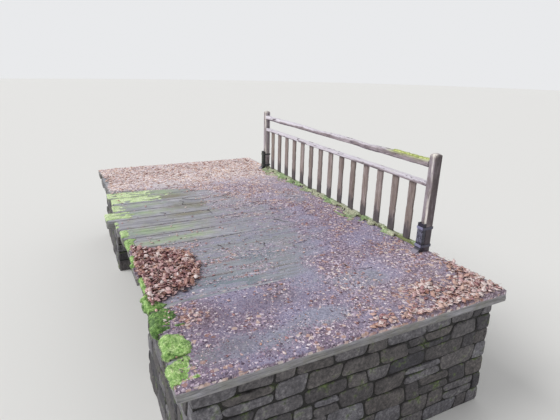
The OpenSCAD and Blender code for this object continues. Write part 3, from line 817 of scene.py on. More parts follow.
# Silt and litter, one crust over the planks
siltGrid = {"stepMm": 25, "endInMm": 5, "edgeInMm": 12, "seenMm": -12.5, "lowestMm": -13.5, "footMm": -14.5}
step, endIn, edgeIn, seen, lowest, foot = (v / 1000 for v in siltGrid.values())
xs = np.arange(plankBoxes[0, 0] + endIn, plankBoxes[-1, 3] - endIn, step)
xs = np.append(xs, plankBoxes[-1, 3] - endIn)
ys = np.arange(plankBoxes[:, 1].min(), plankBoxes[:, 4].max(), step)
x, y, gridShape = gridPoints(xs, ys)
height = siltTop(x, y)
under = plankBoxes[plankAt(x)]
toEdge = np.minimum(under[:, 4] - y, y - under[:, 1])
toEnd = np.minimum(x - plankBoxes[0, 0], plankBoxes[-1, 3] - x)
enough = (toEdge > edgeIn) & (height > seen)
height = height - 0.010 * np.exp(-toEnd / 0.010) - 0.012 * np.exp(-np.maximum(toEdge, 0) / 0.015)
top = np.column_stack([x, y, deckZ + np.maximum(height, lowest)])
bottom = np.column_stack([x, y, np.full(len(x), deckZ + foot)])
points, faces = shell(top, bottom, enough, gridShape)
x, y = points[:, :2].T
siltShare, heap, litter = coverFields(x, y)
unsilted = (1 - siltShare) * (1 - heap)
makePiece("siltCrust", points, faces, silt, (), {
    "litter": litter, "film": filmShare(x, y) * unsilted, "light": lightShare(x, y),
    "heap": np.maximum(heap, 0.45 * spots(x, y, cover["mould"])),
    "bare": spots(x, y, cover["bare"]) * (1 - heap),
    "pool": 0.75 * ease(2.5 * spots(x, y, cover["puddle"]) - 0.5) * unsilted})
print("stage: silt", len(faces))


# Moss cushions with sprigs
mossLook = {"cellMm": 11, "drapeMm": 60, "sprigsPerCell": 2.0, "sprigMm": (4, 9)}


def sprigs(roots, normals, lengths, tones):
    # Three-sided spikes, one for each root
    count = len(roots)
    sideways = unitRows(np.cross(normals, rng.normal(size=(count, 3))))
    other = np.cross(normals, sideways)
    lean = unitRows(normals + rng.normal(scale=0.5, size=(count, 3)))
    wide = lengths[:, None] * 0.28
    sunk = roots - normals * 0.001
    corners = [sunk + sideways * wide, sunk - sideways * wide * 0.5 + other * wide * 0.87,
               sunk - sideways * wide * 0.5 - other * wide * 0.87, roots + lean * lengths[:, None]]
    base = np.arange(count)[:, None] * 4
    faces = np.concatenate([base + face for face in ((0, 1, 3), (1, 2, 3), (2, 0, 3), (0, 2, 1))]).tolist()
    tips = np.tile([0, 0, 0, 1.0], count) * np.repeat(tones, 4)
    return np.stack(corners, axis=1).reshape(-1, 3), faces, tips


def mossPatch(surface, outward, rise, share, shape, cell):
    # A cushion over a grid of surface points, with sprigs where it is well grown
    topField = surface + outward * rise[:, None]
    bottomField = surface - outward * 0.004
    points, faces = shell(topField, bottomField, share > 0.12, shape)
    grown = np.flatnonzero(share > 0.3)
    roots = rng.choice(grown, int(len(grown) * mossLook["sprigsPerCell"]))
    jitter = rng.uniform(-0.5, 0.5, size=(len(roots), 3)) * cell
    jitter -= outward[roots] * np.sum(jitter * outward[roots], axis=1)[:, None]
    lengths = rng.uniform(*mossLook["sprigMm"], len(roots)) / 1000 * (0.5 + 0.5 * ease(rise[roots] / 0.015))
    return [(points, faces, np.zeros(len(points))),
            sprigs(topField[roots] + jitter, outward[roots], lengths, rng.uniform(0.0, 1.0, len(roots)))]


def mossOnPlanks():
    parts = []
    cell = mossLook["cellMm"] / 1000
    for number, box in enumerate(plankBoxes):
        low, high = box[:3], box[3:]
        across = np.linspace(low[0] + 0.003, high[0] - 0.003, int((high[0] - low[0]) / cell) + 1)
        fx, ft, shape = gridPoints(across, np.arange(-mossLook["drapeMm"] / 1000, 0.8, cell))
        share, thick = mossShare(fx, low[1] + np.maximum(ft, 0), low[1])
        drape = 0.012 + 1.1 * thick + 0.012 * smoothNoise(onPlane(fx, ft), 0.05, 61 + number, 2)
        share = share * np.where(ft < 0, ease((drape + ft) / 0.012), 1)
        puff = smoothNoise(onPlane(fx, ft + number), 0.05, 62, 3)
        rounded = 0.4 + 0.6 * ease(np.minimum(fx - low[0], high[0] - fx) / 0.035)  # lower at the joints
        rise = thick * (0.35 + 0.65 * share) * (0.75 + 0.9 * puff) * rounded - 0.004 * (1 - share)
        corner = np.clip((ft + 0.006) / 0.012, 0, 1) * math.pi / 2  # turns the moss over the plank's end
        outward = np.column_stack([ft * 0, -np.cos(corner), np.sin(corner)])
        surface = np.column_stack([fx, low[1] + 0.006 + np.maximum(ft, 0),
                                   high[2] - 0.004 + np.minimum(ft, 0)])
        if (share > 0.3).sum() > 8:
            parts += mossPatch(surface, outward, rise, share, shape, cell)
    points, faces, tip = mergeParts(parts)
    points[:, 1] = np.maximum(points[:, 1], cadLow.y + 0.0005)
    pale = ease((2.75 - (points[:, 0] - farX)) / 1.6) * 0.95
    # painted shade: the moss's tone is lowered towards the near end
    tip += np.interp(points[:, 0] - farX, *np.array(cover["mossPaintedShade"]).T)
    makePiece("deckMoss", points, faces, deckMoss, (), {"tip": tip, "pale": pale})
    print("stage: deck moss", len(faces))


mossOnPlanks()

# Dead leaves and crumbs of leaf
leafLook = {"tries": 90000, "driftTries": 9000, "curlMm": 8, "thickMm": 0.6, "clearMm": 1.2, "twigs": 28}
leafKinds = {  # shape is given by stations along a blade, its half widths there, and the points across it
    "heap": {"count": 2000, "sizeMm": (22, 60), "tilt": 0.3, "bend": 1.0, "tone": (0.6, 0.34), "warm": 0.4,
             "shape": ((-0.5, -0.2, 0.15, 0.5), (0.03, 0.29, 0.29, 0.02), (-1, 0, 1))},
    "loose": {"count": 1900, "sizeMm": (15, 38), "tilt": 0.1, "bend": 0.7, "tone": (0.69, 0.28), "warm": 0.2,
              "shape": ((-0.5, -0.05, 0.5), (0.05, 0.33, 0.02), (-1, 0, 1))},
    "crumb": {"count": 4500, "sizeMm": (6, 17), "tilt": 0.06, "bend": 0.35, "tone": (0.59, 0.3), "warm": 0.2,
              "shape": ((-0.5, 0.05, 0.5), (0.12, 0.38, 0.1), (-1, 1))},
    "drift": {"count": 680, "sizeMm": (26, 66), "tilt": 0.22, "bend": 0.9, "tone": (0.84, 0.28), "warm": 0.4,
              "shape": ((-0.5, -0.05, 0.5), (0.05, 0.31, 0.02), (-1, 0, 1))}}


def bladeBatch(centres, lengths, tilt, bend, stations, widths, sides):
    # Folded and curled blades with a little thickness, each a closed body; also the share that is midrib
    count, across = len(centres), len(sides)
    spin = rng.uniform(0, 2 * math.pi, count)
    fold = rng.uniform(-0.15, 0.7, count) * bend
    curl = rng.uniform(-0.6, 1.0, count) * leafLook["curlMm"] / 1000 * lengths / 0.06 * bend
    ring = []
    for u, wide in zip(stations, widths):
        for side in sides:
            sideways = side * wide * lengths * (0.85 + 0.3 * rng.uniform(size=count))
            up = curl * 4 * u * u + abs(side) * fold * wide * 0.5 * lengths
            up += rng.uniform(-0.03, 0.03, count) * lengths * bend
            ring.append(np.stack([u * lengths, sideways, up], axis=1))
    body = np.stack(ring, axis=1)
    leanX, leanY = rng.normal(scale=tilt, size=(2, count))
    body[:, :, 2] += body[:, :, 0] * leanX[:, None] + body[:, :, 1] * leanY[:, None]
    c, s = np.cos(spin)[:, None], np.sin(spin)[:, None]
    u, v, w = np.moveaxis(body, 2, 0)
    turned = np.stack([u * c - v * s, u * s + v * c, w], axis=2)
    turned[:, :, 2] -= turned[:, :, 2].min(axis=1)[:, None] * 0.8
    turned += centres[:, None, :]
    lower = turned - [0, 0, leafLook["thickMm"] / 1000]
    points = np.concatenate([turned, lower], axis=1).reshape(-1, 3)
    size = across * len(stations)
    quads = []
    for i in range(len(stations) - 1):
        for j in range(across - 1):
            a = i * across + j
            quads += [(a, a + across, a + across + 1, a + 1),
                      (a + size, a + size + 1, a + size + across + 1, a + size + across)]
    last = size - across
    rim = list(range(0, last, across)) + list(range(last, size - 1))
    rim += list(range(size - 1, across - 1, -across)) + list(range(across - 1, 0, -1))
    quads += [(p, p + size, q + size, q) for p, q in zip(rim, rim[1:] + rim[:1])]
    faces = (np.arange(count)[:, None, None] * 2 * size + np.array(quads)[None]).reshape(-1, 4).tolist()
    rib = np.tile([1.0 - abs(side) for _ in stations for side in sides] * 2, count)
    return points, faces, rib


def litterTop(x, y):
    share, thick = mossShare(x, y, plankBoxes[plankAt(x), 1])
    return deckZ + np.maximum(np.maximum(siltTop(x, y), -0.003), share * thick * 0.8)


def layLeaves(kind, x, y, raised, airedAndLit=0.0):
    # Blades on the litter at x and y; where the place is aired they are whole and often orange, and paler,
    # partly as painted light
    look, count = leafKinds[kind], len(x)
    lengths = rng.uniform(*look["sizeMm"], count) / 1000 * (1 + 0.6 * airedAndLit)
    z = litterTop(x, y) + rng.uniform(0, 1, count) * raised + leafLook["clearMm"] / 1000
    centres = np.column_stack([x, y, z])
    points, faces, rib = bladeBatch(centres, lengths, look["tilt"], look["bend"], *look["shape"])
    # paler where the light share is high: partly painted light
    tone = np.clip(rng.normal(*look["tone"], count) + 0.3 * airedAndLit, 0, 1)
    warm = rng.uniform(size=count) < look["warm"] + 0.3 * airedAndLit
    warm = np.where(warm, rng.uniform(0.2, 0.8, count), 0)
    perBlade = len(points) // count
    return points, faces, np.column_stack([np.repeat(tone, perBlade), np.repeat(warm, perBlade), rib])


def makeLeaves(name, material, parts, ribbed):
    points, faces, marks = mergeParts(parts)
    inner = 0.001  # within the deck's ends and its open edge
    points[:, 0] = np.clip(points[:, 0], plankBoxes[0, 0] + inner, plankBoxes[-1, 3] - inner)
    points[:, 1] = np.maximum(points[:, 1], plankBoxes[:, 1].min() + inner)
    tone, warm, rib = marks.T
    makePiece(name, points, faces, material, (), {
        "tone": tone, "warm": warm, "rib": rib * ribbed})
    print("stage:", name, len(faces))


def scatterLeaves():
    tries = leafLook["tries"]
    x = rng.uniform(plankBoxes[0, 0] + 0.03, plankBoxes[-1, 3] - 0.03, tries)
    y = rng.uniform(plankBoxes[:, 1].max() + 0.03, railY - 0.05, tries)
    siltShare, heap, litter = coverFields(x, y)
    drifts = ease(0.5 + 1.4 * smoothNoise(onPlane(x, y), 0.22, 71, 3))
    chance = np.clip(litter - heap, 0, 1) ** 1.6 * drifts + 0.02 + 0.05 * drifts * siltShare
    chance += 4 * spots(x, y, cover["caught"]) ** 2 + 0.5 * spots(x, y, cover["blown"]) ** 2
    heapPicks = np.flatnonzero(heap > 0.1 + 0.75 * rng.uniform(size=tries))[:leafKinds["heap"]["count"]]
    outward = 0.07 * ease((railY - 2.3 - y[heapPicks]) / 0.22)  # the heap has slid out to the plank ends
    y[heapPicks] = np.maximum(y[heapPicks] - outward, plankBoxes[plankAt(x[heapPicks]), 1] + 0.045)
    loose = (rng.uniform(size=tries) < chance * 0.22) & (heap < 0.5)
    loosePicks = np.flatnonzero(loose)[:leafKinds["loose"]["count"]]
    clear = np.flatnonzero(heap < 0.5)
    seamed = 0.4 * np.exp(-((seamPhase(x) - 0.02) / 0.06) ** 2)
    crumbChance = 0.03 + 0.9 * litter ** 1.5 + seamed
    crumbled = rng.uniform(size=len(clear)) < crumbChance[clear] * 0.2
    crumbPicks = clear[crumbled][:leafKinds["crumb"]["count"]]

    def lay(kind, picks, raised=0.0):
        return layLeaves(kind, x[picks], y[picks], raised, lightShare(x[picks], y[picks]))

    makeLeaves("deadLeaves", deadLeaf, [lay("heap", heapPicks, 0.02), lay("loose", loosePicks)], True)
    makeLeaves("leafCrumbs", crumbledLeaf, [lay("crumb", crumbPicks)], False)


def scatterTwigs():
    # Short twigs, each a bent tube that thins towards its tip
    parts = []
    ring = np.arange(6) / 6 * 2 * math.pi
    for _ in range(leafLook["twigs"]):
        length, thick = rng.uniform(0.06, 0.24), rng.uniform(0.0017, 0.0036)
        outline = np.column_stack([np.cos(ring), np.sin(ring)]) * thick
        local, _, faces = sweep(np.linspace(0, length, 8), outline, (0.5,))
        t = local[:, [0]] / length
        local[:, 1:] *= 1 - 0.6 * t
        bow, wave = length * rng.normal(scale=0.25), length * rng.normal(scale=0.06)
        local[:, [1]] += bow * t * t + wave * np.sin(7 * t)
        turn = rng.uniform(0, 2 * math.pi)
        x = rng.uniform(farX + 1.0, nearX + 0.6)
        y = railY + rng.uniform(-2.2, -0.3)
        across = (-math.sin(turn), math.cos(turn), 0)
        world = placed(local, (x, y, 0), ((math.cos(turn), math.sin(turn), 0), across, (0, 0, 1)))
        world[:, 2] += litterTop(world[:, 0], world[:, 1]).max() + 0.4 * thick
        parts.append((world, faces, np.zeros(len(world))))
    points, faces, _ = mergeParts(parts)
    makePiece("twigs", points, faces, twigBark, (), {"tone": 0.5})


scatterLeaves()
scatterTwigs()

# Railing
railLook = {"ringMm": 18, "widthMm": 88, "wearMm": 13, "bowMm": 7, "mossRun": 0.62, "mossMm": 11,
            "cracksMm": (-18, 6, 21), "crackMm": 6}
railStart, railStop = farX + postW / 2, nearX - postW / 2
railLength = railStop - railStart
railStations = np.linspace(0, railLength, int(railLength * 1000 / railLook["ringMm"]))


def chipped(local, edge, deep, size, seed, fewer):  # chips along the arrises, where edge is above 0
    return edge * deep * ease(smoothNoise(local, size, seed, 3) * 2.2 - fewer)


def grainDepth(local, seed, amount):  # fibres that stand proud, and shallow chips between them
    depth = amount * (1 + smoothNoise(local, (0.5, 0.012, 0.012), seed, 2)) * 0.5
    return depth + amount * 0.8 * ease(smoothNoise(local, (0.12, 0.03, 0.03), seed + 1, 2) * 2 - 0.6)


def waney(local, seed, amount):  # slow swellings of a rail split from a pole
    return amount * (0.5 + 0.5 * smoothNoise(local, (0.33, 0.06, 0.06), seed, 3))


def weatheringAndLight(world, normals, rise, seed, reached):
    # Rails bleach from the top down, unevenly and more towards the far post, the pale partly a painted glare;
    # knots stay dark, and lower faces and undersides get painted shade
    patches = smoothNoise(world, (0.3, 0.04, 0.04), seed, 3)
    farther = ease((railStop - 0.9 - world[:, 0]) / 2.2)
    knots = ease(smoothNoise(world, (0.1, 0.04, 0.04), seed + 5, 2) * 3.6 - 1.1)
    line = reached - 0.36 * farther + 0.34 * patches  # bleached above this height
    # bleaching, and partly painted glare, on the upper faces
    bleach = ease((rise - line) / 0.3 + 0.5) * (1 - 0.75 * knots) * (1.25 - 0.75 * reached + 0.3 * farther)
    # painted shade low on the faces and under the rail, plus the knots' own dark
    shade = ease((0.34 + 0.3 * patches - rise) / 0.25) + 0.8 * knots + (normals[:, 2] < -0.5)
    return {"bleach": np.clip(bleach, 0, 1), "shade": np.clip(shade, 0, 1) * (0.75 + 0.25 * farther),
            "wet": 0.15 + 0.3 * np.clip(bleach, 0, 1)}


def topRail():
    # The worn hand rail: two long hollows, a slight bow, chipped arrises and open checks
    low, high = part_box("top_rail")
    width, deep = railLook["widthMm"] / 1000, high.z - low.z
    cracks = [v / 1000 for v in railLook["cracksMm"]]
    outline = boxOutline(width, deep, (0.006, 0.02), (0.011, 0.009, 0.009), slotsAt(cracks, 0.0022))
    local, normals, faces = sweep(railStations, outline)
    u, v, w = local.T.copy()
    t = np.clip(u / railLength, 0, 1)
    hollows = np.exp(-((t - 0.42) / 0.09) ** 2) + 0.6 * np.exp(-((t - 0.7) / 0.06) ** 2)
    wear = railLook["wearMm"] / 1000 * hollows
    local[:, 1] = v * (1 - wear / width) + railLook["bowMm"] / 1000 * np.sin(math.pi * t)
    local[:, 2] = w * (1 - wear / deep)
    held = ease(np.minimum(u, railLength - u) / 0.12)  # the tenoned ends keep their size
    depth = grainDepth(local, 201, 0.0024) + waney(local, 203, 0.009) * held
    local[:, 2] += 0.006 * held * (smoothNoise(onPlane(u, u * 0), 0.3, 205, 3) - 0.5)
    for k, at in enumerate(cracks):
        run = ease(3 * smoothNoise(onPlane(u, u * 0 + at * 50), 0.3, 210 + k, 2))
        depth += ((normals[:, 2] > 0.9) & (np.abs(v - at) < 0.001)) * run * railLook["crackMm"] / 1000
    arris = ease((np.abs(v) - width / 2 + 0.02) / 0.014) * (w > deep * 0.55)
    depth += chipped(local, arris, 0.008, (0.09, 0.3, 0.3), 220, 0.3)
    world = placed(local - normals * depth[:, None], (railStart, railY, low.z))
    mossy = ease((world[:, 0] - railStop + 0.75) / 0.3) * ease(normals[:, 2] * 1.5 + 0.3)
    makePiece("top_rail_worn", world, faces, railWood, ("top_rail",), {
        "tone": 0.8, "algae": 0.8 * mossy,
        **weatheringAndLight(world, normals, (world[:, 2] - low.z) / deep, 221, 0.74)})


def straightRail(node, material, fieldMaker, seed):
    low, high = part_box(node)
    wide, deep = high.y - low.y, high.z - low.z
    outline = boxOutline(wide, deep, (0.003, 0.009), (0.011, 0.009, 0.009))
    local, normals, faces = sweep(railStations, outline)
    u, v, w = local.T
    held = ease(np.minimum(u, railLength - u) / 0.1)
    depth = grainDepth(local, seed, 0.0018) + waney(local, seed + 3, 0.004) * held
    arris = ease((np.abs(v) - wide / 2 + 0.014) / 0.01) * (w > deep * 0.6)
    depth += chipped(local, arris, 0.006, (0.08, 0.3, 0.3), seed + 5, 0.2)
    world = placed(local - normals * depth[:, None], (railStart, railY, low.z))
    fields = fieldMaker(world, normals, (world[:, 2] - low.z) / deep)
    makePiece(node + "_worn", world, faces, material, (node,), fields)


def middleRailFields(world, normals, rise):
    return {"tone": 0.85, "algae": 0.2 * ease(smoothNoise(world, 0.2, 232, 2) * 2),
            **weatheringAndLight(world, normals, rise, 231, 0.45)}


def footRailFields(world, *_):
    drift = ease((railY - world[:, 1] - 0.005) / 0.02) * ease((deckZ + 0.03 - world[:, 2]) / 0.02)
    return {"tone": 0.8, "wet": 0.4, "dirt": drift, "litter": 0.4,
            "algae": np.clip(0.5 + 0.9 * smoothNoise(world, (0.25, 0.1, 0.1), 233, 3), 0, 1)}


topRail()
straightRail("middle_rail", railWood, middleRailFields, 240)
straightRail("foot_rail", footWood, footRailFields, 250)


postLook = {"ringMm": 14, "crownMm": 22, "cracksMm": (-14, 12), "crackMm": 6}


def post(node, seed, dark):
    # Square post with a weathered crown, open checks and rounded arrises; painted shade darkens its end side
    low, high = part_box(node)
    height = high.z - low.z
    cracks = [v / 1000 for v in postLook["cracksMm"]]
    outline = boxOutline(postW, postW, (0.006, 0.006), (0.01, 0.01, 0.01), slotsAt(cracks, 0.002))
    stations = np.linspace(0, height, int(height * 1000 / postLook["ringMm"]))
    local, normals, faces = sweep(stations, outline - [0, postW / 2])
    u, v, w = local.T.copy()
    crown = postLook["crownMm"] / 1000 * np.minimum((v * v + w * w) / (2 * (postW / 2) ** 2), 1)
    atTop = ease((u - height + 0.05) / 0.05)
    depth = grainDepth(local, seed, 0.0022)
    for k, at in enumerate(cracks):
        run = ease(2.5 * smoothNoise(onPlane(u, u * 0 + at * 50 + seed), 0.35, 280 + k, 2) + 0.2)
        depth += ((np.abs(v - at) < 0.001) & (np.abs(normals[:, 2]) > 0.9)) * run * postLook["crackMm"] / 1000
    local = local - normals * depth[:, None] * (normals[:, [0]] == 0)
    checked = 0.004 * ease(smoothNoise(np.column_stack([v * 0, v, w]), (1, 0.03, 0.007), 290, 2) * 3 - 0.6)
    local[:, 0] -= atTop * (crown + np.where(normals[:, 0] > 0, checked, 0))
    middle = ((low.x + high.x) / 2, (low.y + high.y) / 2, low.z)
    world = placed(local, middle, standing)
    x, y, z = world.T
    deckSide = ease((railY - y) / 0.03 - 0.2)
    patchy = ease(0.5 + 0.35 * dark + 1.6 * smoothNoise(world, (0.02, 0.02, 0.16), 291, 3))
    streak = np.exp(-((x - middle[0] - 0.018) / 0.018) ** 2) * patchy
    # painted highlight along the far post's end face, by its corner to the deck side
    arris = np.exp(-((y - railY + 0.028) / 0.014) ** 2) * (x > middle[0] + 0.03) * (1 - dark)
    upper = ease((z - deckZ - 0.22) / 0.1)
    uneven = 0.75 + 0.3 * smoothNoise(world, (0.05, 0.05, 0.3), 293, 2)
    # painted shade on the end side, away from the light
    paintedEndShade = ease((x - middle[0]) / 0.024 - 0.7) * uneven * dark
    damp = ease((deckZ + 0.3 + 0.05 * smoothNoise(world, 0.04, 292, 2) - z) / 0.1) * (0.4 + 0.6 * dark)
    makePiece(node + "_worn", world, faces, postWood, (node,), {
        "bleach": deckSide * streak * upper + 0.45 * atTop + 0.8 * arris, "shade": paintedEndShade * upper,
        "tone": 0.9, "damp": damp, "wet": 0.1 + 0.5 * damp})


# the last number sets the painted shade on the end side; it also scales the damp and the streak, and the
# painted arris highlight falls as it rises
post("post_far", 260, 0.35)
post("post_near", 270, 1.0)


paleLook = {"ringMm": 17}


def pale(node, number):
    # Flat pale with worn arrises, damp at the foot and green in places
    low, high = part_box(node)
    width, thick, length = high.x - low.x, high.y - low.y, high.z - low.z
    outline = boxOutline(width, thick, (0.003, 0.003), (0.012, 0.008, 0.012)) - [0, thick / 2]
    stations = np.linspace(0, length, int(length * 1000 / paleLook["ringMm"]))
    local, normals, faces = sweep(stations, outline, (0.4, 0.8))
    depth = grainDepth(local, 300 + number * 3, 0.0014)
    arris = ease((np.abs(local[:, 1]) - width / 2 + 0.008) / 0.006)
    depth += chipped(local, arris, 0.004, (0.07, 0.3, 0.3), 350 + number, 0.3)
    local = local - normals * depth[:, None] * (normals[:, [0]] == 0)
    world = placed(local, ((low.x + high.x) / 2, (low.y + high.y) / 2, low.z), standing)
    z = world[:, 2]
    damp = ease((deckZ + 0.3 + 0.09 * smoothNoise(world, (0.03, 0.03, 0.06), 360, 3) - z) / 0.2)
    green = ease(smoothNoise(world, (0.05, 0.05, 0.3), 361 + number, 2) * 2)
    algae = 0.4 * green * ease((z - deckZ - 0.1) / 0.2)
    makePiece(node + "_worn", world, faces, paleWood, (node,), {
        "tone": rng.uniform(0.5, 1.0), "algae": algae, "damp": damp, "wet": 0.1 + 0.4 * damp})


for number, node in enumerate(paleNames):
    pale(node, number)
print("stage: railing")


def mossOnTopRail():  # a strip that dies out away from the near post
    cell, high = 0.009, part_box("top_rail")[1].z
    fx, ft, shape = gridPoints(np.arange(railStop - railLook["mossRun"], railStop - 0.002, cell),
                               np.linspace(-0.046, 0.046, 12))
    flat = onPlane(fx, ft)
    fromTip = fx - railStop + railLook["mossRun"]
    share = ease((fromTip - 0.03 + 0.06 * smoothNoise(flat, 0.05, 401, 2)) / 0.12)
    share *= ease((0.036 - np.abs(ft - 0.008) + 0.014 * smoothNoise(flat, 0.03, 402, 2)) / 0.012)
    side = np.clip(np.abs(ft) - 0.024, 0, None)
    surface = np.column_stack([fx, railY + ft * 0.93, high - 0.006 - side * side * 36])
    outward = unitRows(np.column_stack([fx * 0, ft * 14, np.ones(len(ft))]))
    rise = railLook["mossMm"] / 1000 * (0.3 + 0.7 * share) * (0.8 + 0.6 * smoothNoise(flat, 0.03, 403, 2))
    rise = rise - 0.005 * (1 - share)
    points, faces, tip = mergeParts(mossPatch(surface, outward, rise, share, shape, cell))
    makePiece("railMoss", points, faces, railMoss, (), {"tip": tip, "pale": 0.0})


def mossOnFootRail():  # a ragged fringe between the silt and the foot rail
    cell, footHigh = 0.012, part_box("foot_rail")[1].z
    fx, ft, shape = gridPoints(np.arange(railStart + 0.002, railStop - 0.05, cell),
                               np.arange(-0.2, 0.036, cell))
    flat = onPlane(fx, ft)
    clumps = smoothNoise(flat, (0.11, 0.06, 1), 411, 4)
    grown = np.exp(-((fx - farX - 2.5) / 0.65) ** 2)  # widest in the middle of the nearer half
    reach = 0.055 + 0.1 * grown + 0.11 * smoothNoise(onPlane(fx, ft * 0), 0.2, 412, 3)
    reach += 0.11 * np.exp(-((fx - farX - 0.45) / 0.5) ** 2)
    torn = smoothNoise(flat, 0.028, 415, 3)
    share = ease((ft + reach + 0.05 * clumps + 0.03 * torn) / 0.03) * ease((0.034 - ft) / 0.01)
    share *= ease(0.55 + 0.35 * grown + 2.2 * clumps + 0.5 * torn)
    ground = np.maximum(siltTop(fx, railY + ft), 0) - 0.002
    rail = footHigh - deckZ - 0.006
    base = deckZ + ground + (rail - ground) * ease((ft + 0.052) / 0.026)
    rise = 0.013 * (0.3 + 0.7 * share) * (0.8 + 0.9 * smoothNoise(flat, 0.04, 413, 3)) - 0.004 * (1 - share)
    leaning = -0.6 * ease(1 - np.abs(ft + 0.04) / 0.03)
    outward = unitRows(np.column_stack([fx * 0, leaning, np.ones(len(ft))]))
    surface = np.column_stack([fx, railY + ft, base])
    points, faces, tip = mergeParts(mossPatch(surface, outward, rise, share, shape, cell))
    pale = ease(0.55 + 1.6 * smoothNoise(points, 0.16, 414, 3)) * ease((points[:, 0] - farX + 1.0) / 2.0)
    makePiece("footMoss", points, faces, footMoss, (), {"tip": tip, "pale": pale})
    print("stage: foot moss", len(faces))


mossOnTopRail()
mossOnFootRail()

# Log beams
logLook = {"taperMm": 20, "topHewnMm": 25, "bearing": 0.62, "ringMm": 28, "sides": 40}


def logBeam(node, thinFirst, seed):
    low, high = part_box(node)
    length = high.x - low.x
    radius = (high.y - low.y) / 2
    thin = radius - logLook["taperMm"] / 1000
    angles = np.arange(logLook["sides"]) / logLook["sides"] * 2 * math.pi
    outline = np.column_stack([np.cos(angles), np.sin(angles)])
    stations = np.linspace(0, length, int(length * 1000 / logLook["ringMm"]))
    local, _, faces = sweep(stations, outline, (0.2, 0.4, 0.6, 0.8, 0.95))
    u, v, w = local.T.copy()
    t = u / length
    size = thin + (radius - thin) * (t if thinFirst else 1 - t)
    rounded = np.column_stack([u, v * 0.3, w * 0.3])
    knobs = 0.006 * ease(smoothNoise(np.column_stack([u, v * 0.2, w * 0.2]), 0.11, seed, 2) * 3 - 1.2)
    size = size - 0.008 + 0.004 * smoothNoise(rounded, (0.6, 0.12, 0.12), seed + 1, 2) + knobs
    local[:, 1], local[:, 2] = v * size, w * size
    axisZ = high.z - (thin - logLook["topHewnMm"] / 1000)
    world = placed(local, (low.x, (low.y + high.y) / 2, axisZ))
    hewn = 0.0015 * (1 + smoothNoise(world, (0.09, 0.2, 0.2), seed + 2, 1))
    world[:, 2] = np.minimum(world[:, 2], high.z - hewn)
    onStone = np.abs(world[:, 0]) > length / 2 - logLook["bearing"]
    world[:, 2] = np.where(onStone, np.maximum(world[:, 2], low.z + hewn), world[:, 2])
    algae = np.clip(0.3 + 0.8 * smoothNoise(world, (0.4, 0.1, 0.1), seed + 3, 3), 0, 1) * ease(0.2 + w)
    makePiece(node + "_hewn", world, faces, logWood, (node,), {
        "tone": 0.7, "algae": algae, "wet": 0.2})


logBeam("log_left", True, 500)
logBeam("log_middle", False, 520)
logBeam("log_right", True, 540)

# Abutments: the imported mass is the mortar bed, and facing stones stand a little proud of it
stoneLook = {"lengthMm": (130, 420), "courseMm": (105, 180), "jointMm": 12, "proudMm": 13, "rounds": 28,
             "wanderMm": 16, "slantMm": 22, "wrapMm": 11, "splitChance": 0.3,
             "batterMm": 70, "sideBatterMm": 45, "pocketMm": 360}
stoneLayers = (  # how far each ring of a stone shrinks, and its height; below 0 it lies in the mortar
    (1.0, -9), (1.0, 0.1), (0.97, 0.5), (0.91, 0.78), (0.8, 0.95), (0.62, 1.05), (0.4, 1.1), (0.18, 1.12))


def faceMap(corners):
    # Maps metres along and up a slanting wall face, and out of it, to the row's frame
    a, b, c, d = (np.array(p, dtype=float) for p in corners)  # foot start, foot end, top end, top start
    normal = np.cross(b - a, d - a)
    normal /= np.linalg.norm(normal)
    width, height = np.linalg.norm(b - a), np.linalg.norm(d - a)

    def mapPoint(flat, out):
        s, t = flat[:, [0]] / width, flat[:, [1]] / height
        return a * (1 - s) * (1 - t) + b * s * (1 - t) + c * s * t + d * (1 - s) * t + normal * out[:, None]
    return mapPoint, width, height


def roundedOutline(corners, rounds):
    # Points at even steps along a closed polygon, with its corners worn round
    edges = np.roll(corners, -1, axis=0) - corners
    lengths = np.linalg.norm(edges, axis=1)
    ends = np.cumsum(lengths)
    marks = (np.arange(rounds) + 0.5) / rounds * ends[-1]
    which = np.searchsorted(ends, marks)
    start = np.concatenate([[0], ends[:-1]])
    points = corners[which] + edges[which] * ((marks - start[which]) / lengths[which])[:, None]
    return 0.5 * points + 0.25 * (np.roll(points, 1, axis=0) + np.roll(points, -1, axis=0))


def stoneMesh(corners, mapPoint, wraps, seed):
    # One stone: its outline drawn in by the joint, rounded, and raised in rings with split facets
    n = stoneLook["rounds"]
    outline = roundedOutline(np.array(corners), n)
    centre = (outline.min(axis=0) + outline.max(axis=0)) / 2
    half = (outline.max(axis=0) - outline.min(axis=0)) / 2
    joint = stoneLook["jointMm"] / 2000 * rng.uniform(0.6, 1.5)
    inner = centre + (outline - centre) * np.maximum(0.4, (half - joint) / half)
    wrap = stoneLook["wrapMm"] / 1000
    for side in wraps:  # a corner stone reaches round the arris
        beyond = (inner[:, 0] - centre[0]) * side
        inner[:, 0] += side * (joint + wrap) * ease(beyond / half[0] - 0.2)
    proud = stoneLook["proudMm"] / 1000 * rng.uniform(0.6, 1.5)
    planes = rng.normal(scale=0.11, size=(3, 2))
    lifts = rng.uniform(0.75, 1.25, 3) * proud
    points = []
    for shrink, lift in stoneLayers:
        flat = centre + (inner - centre) * shrink
        rough = smoothNoise(np.column_stack([flat, np.full(n, seed * 0.37)]), 0.05, 601, 4)
        facets = np.min(lifts[:, None] + planes @ (flat - centre).T, axis=0)
        split = np.maximum(facets, 0.45 * proud * min(lift, 1))
        out = np.minimum(proud * lift * 1.15, split) + 0.22 * proud * rough
        points.append(mapPoint(flat, np.full(n, -0.03) if lift < 0 else np.maximum(out, -0.004)))
    points += [points[-1].mean(axis=0)[None], points[0].mean(axis=0)[None]]
    count = len(stoneLayers)
    return np.concatenate(points), ringFaces(count, n, count * n + 1, count * n)


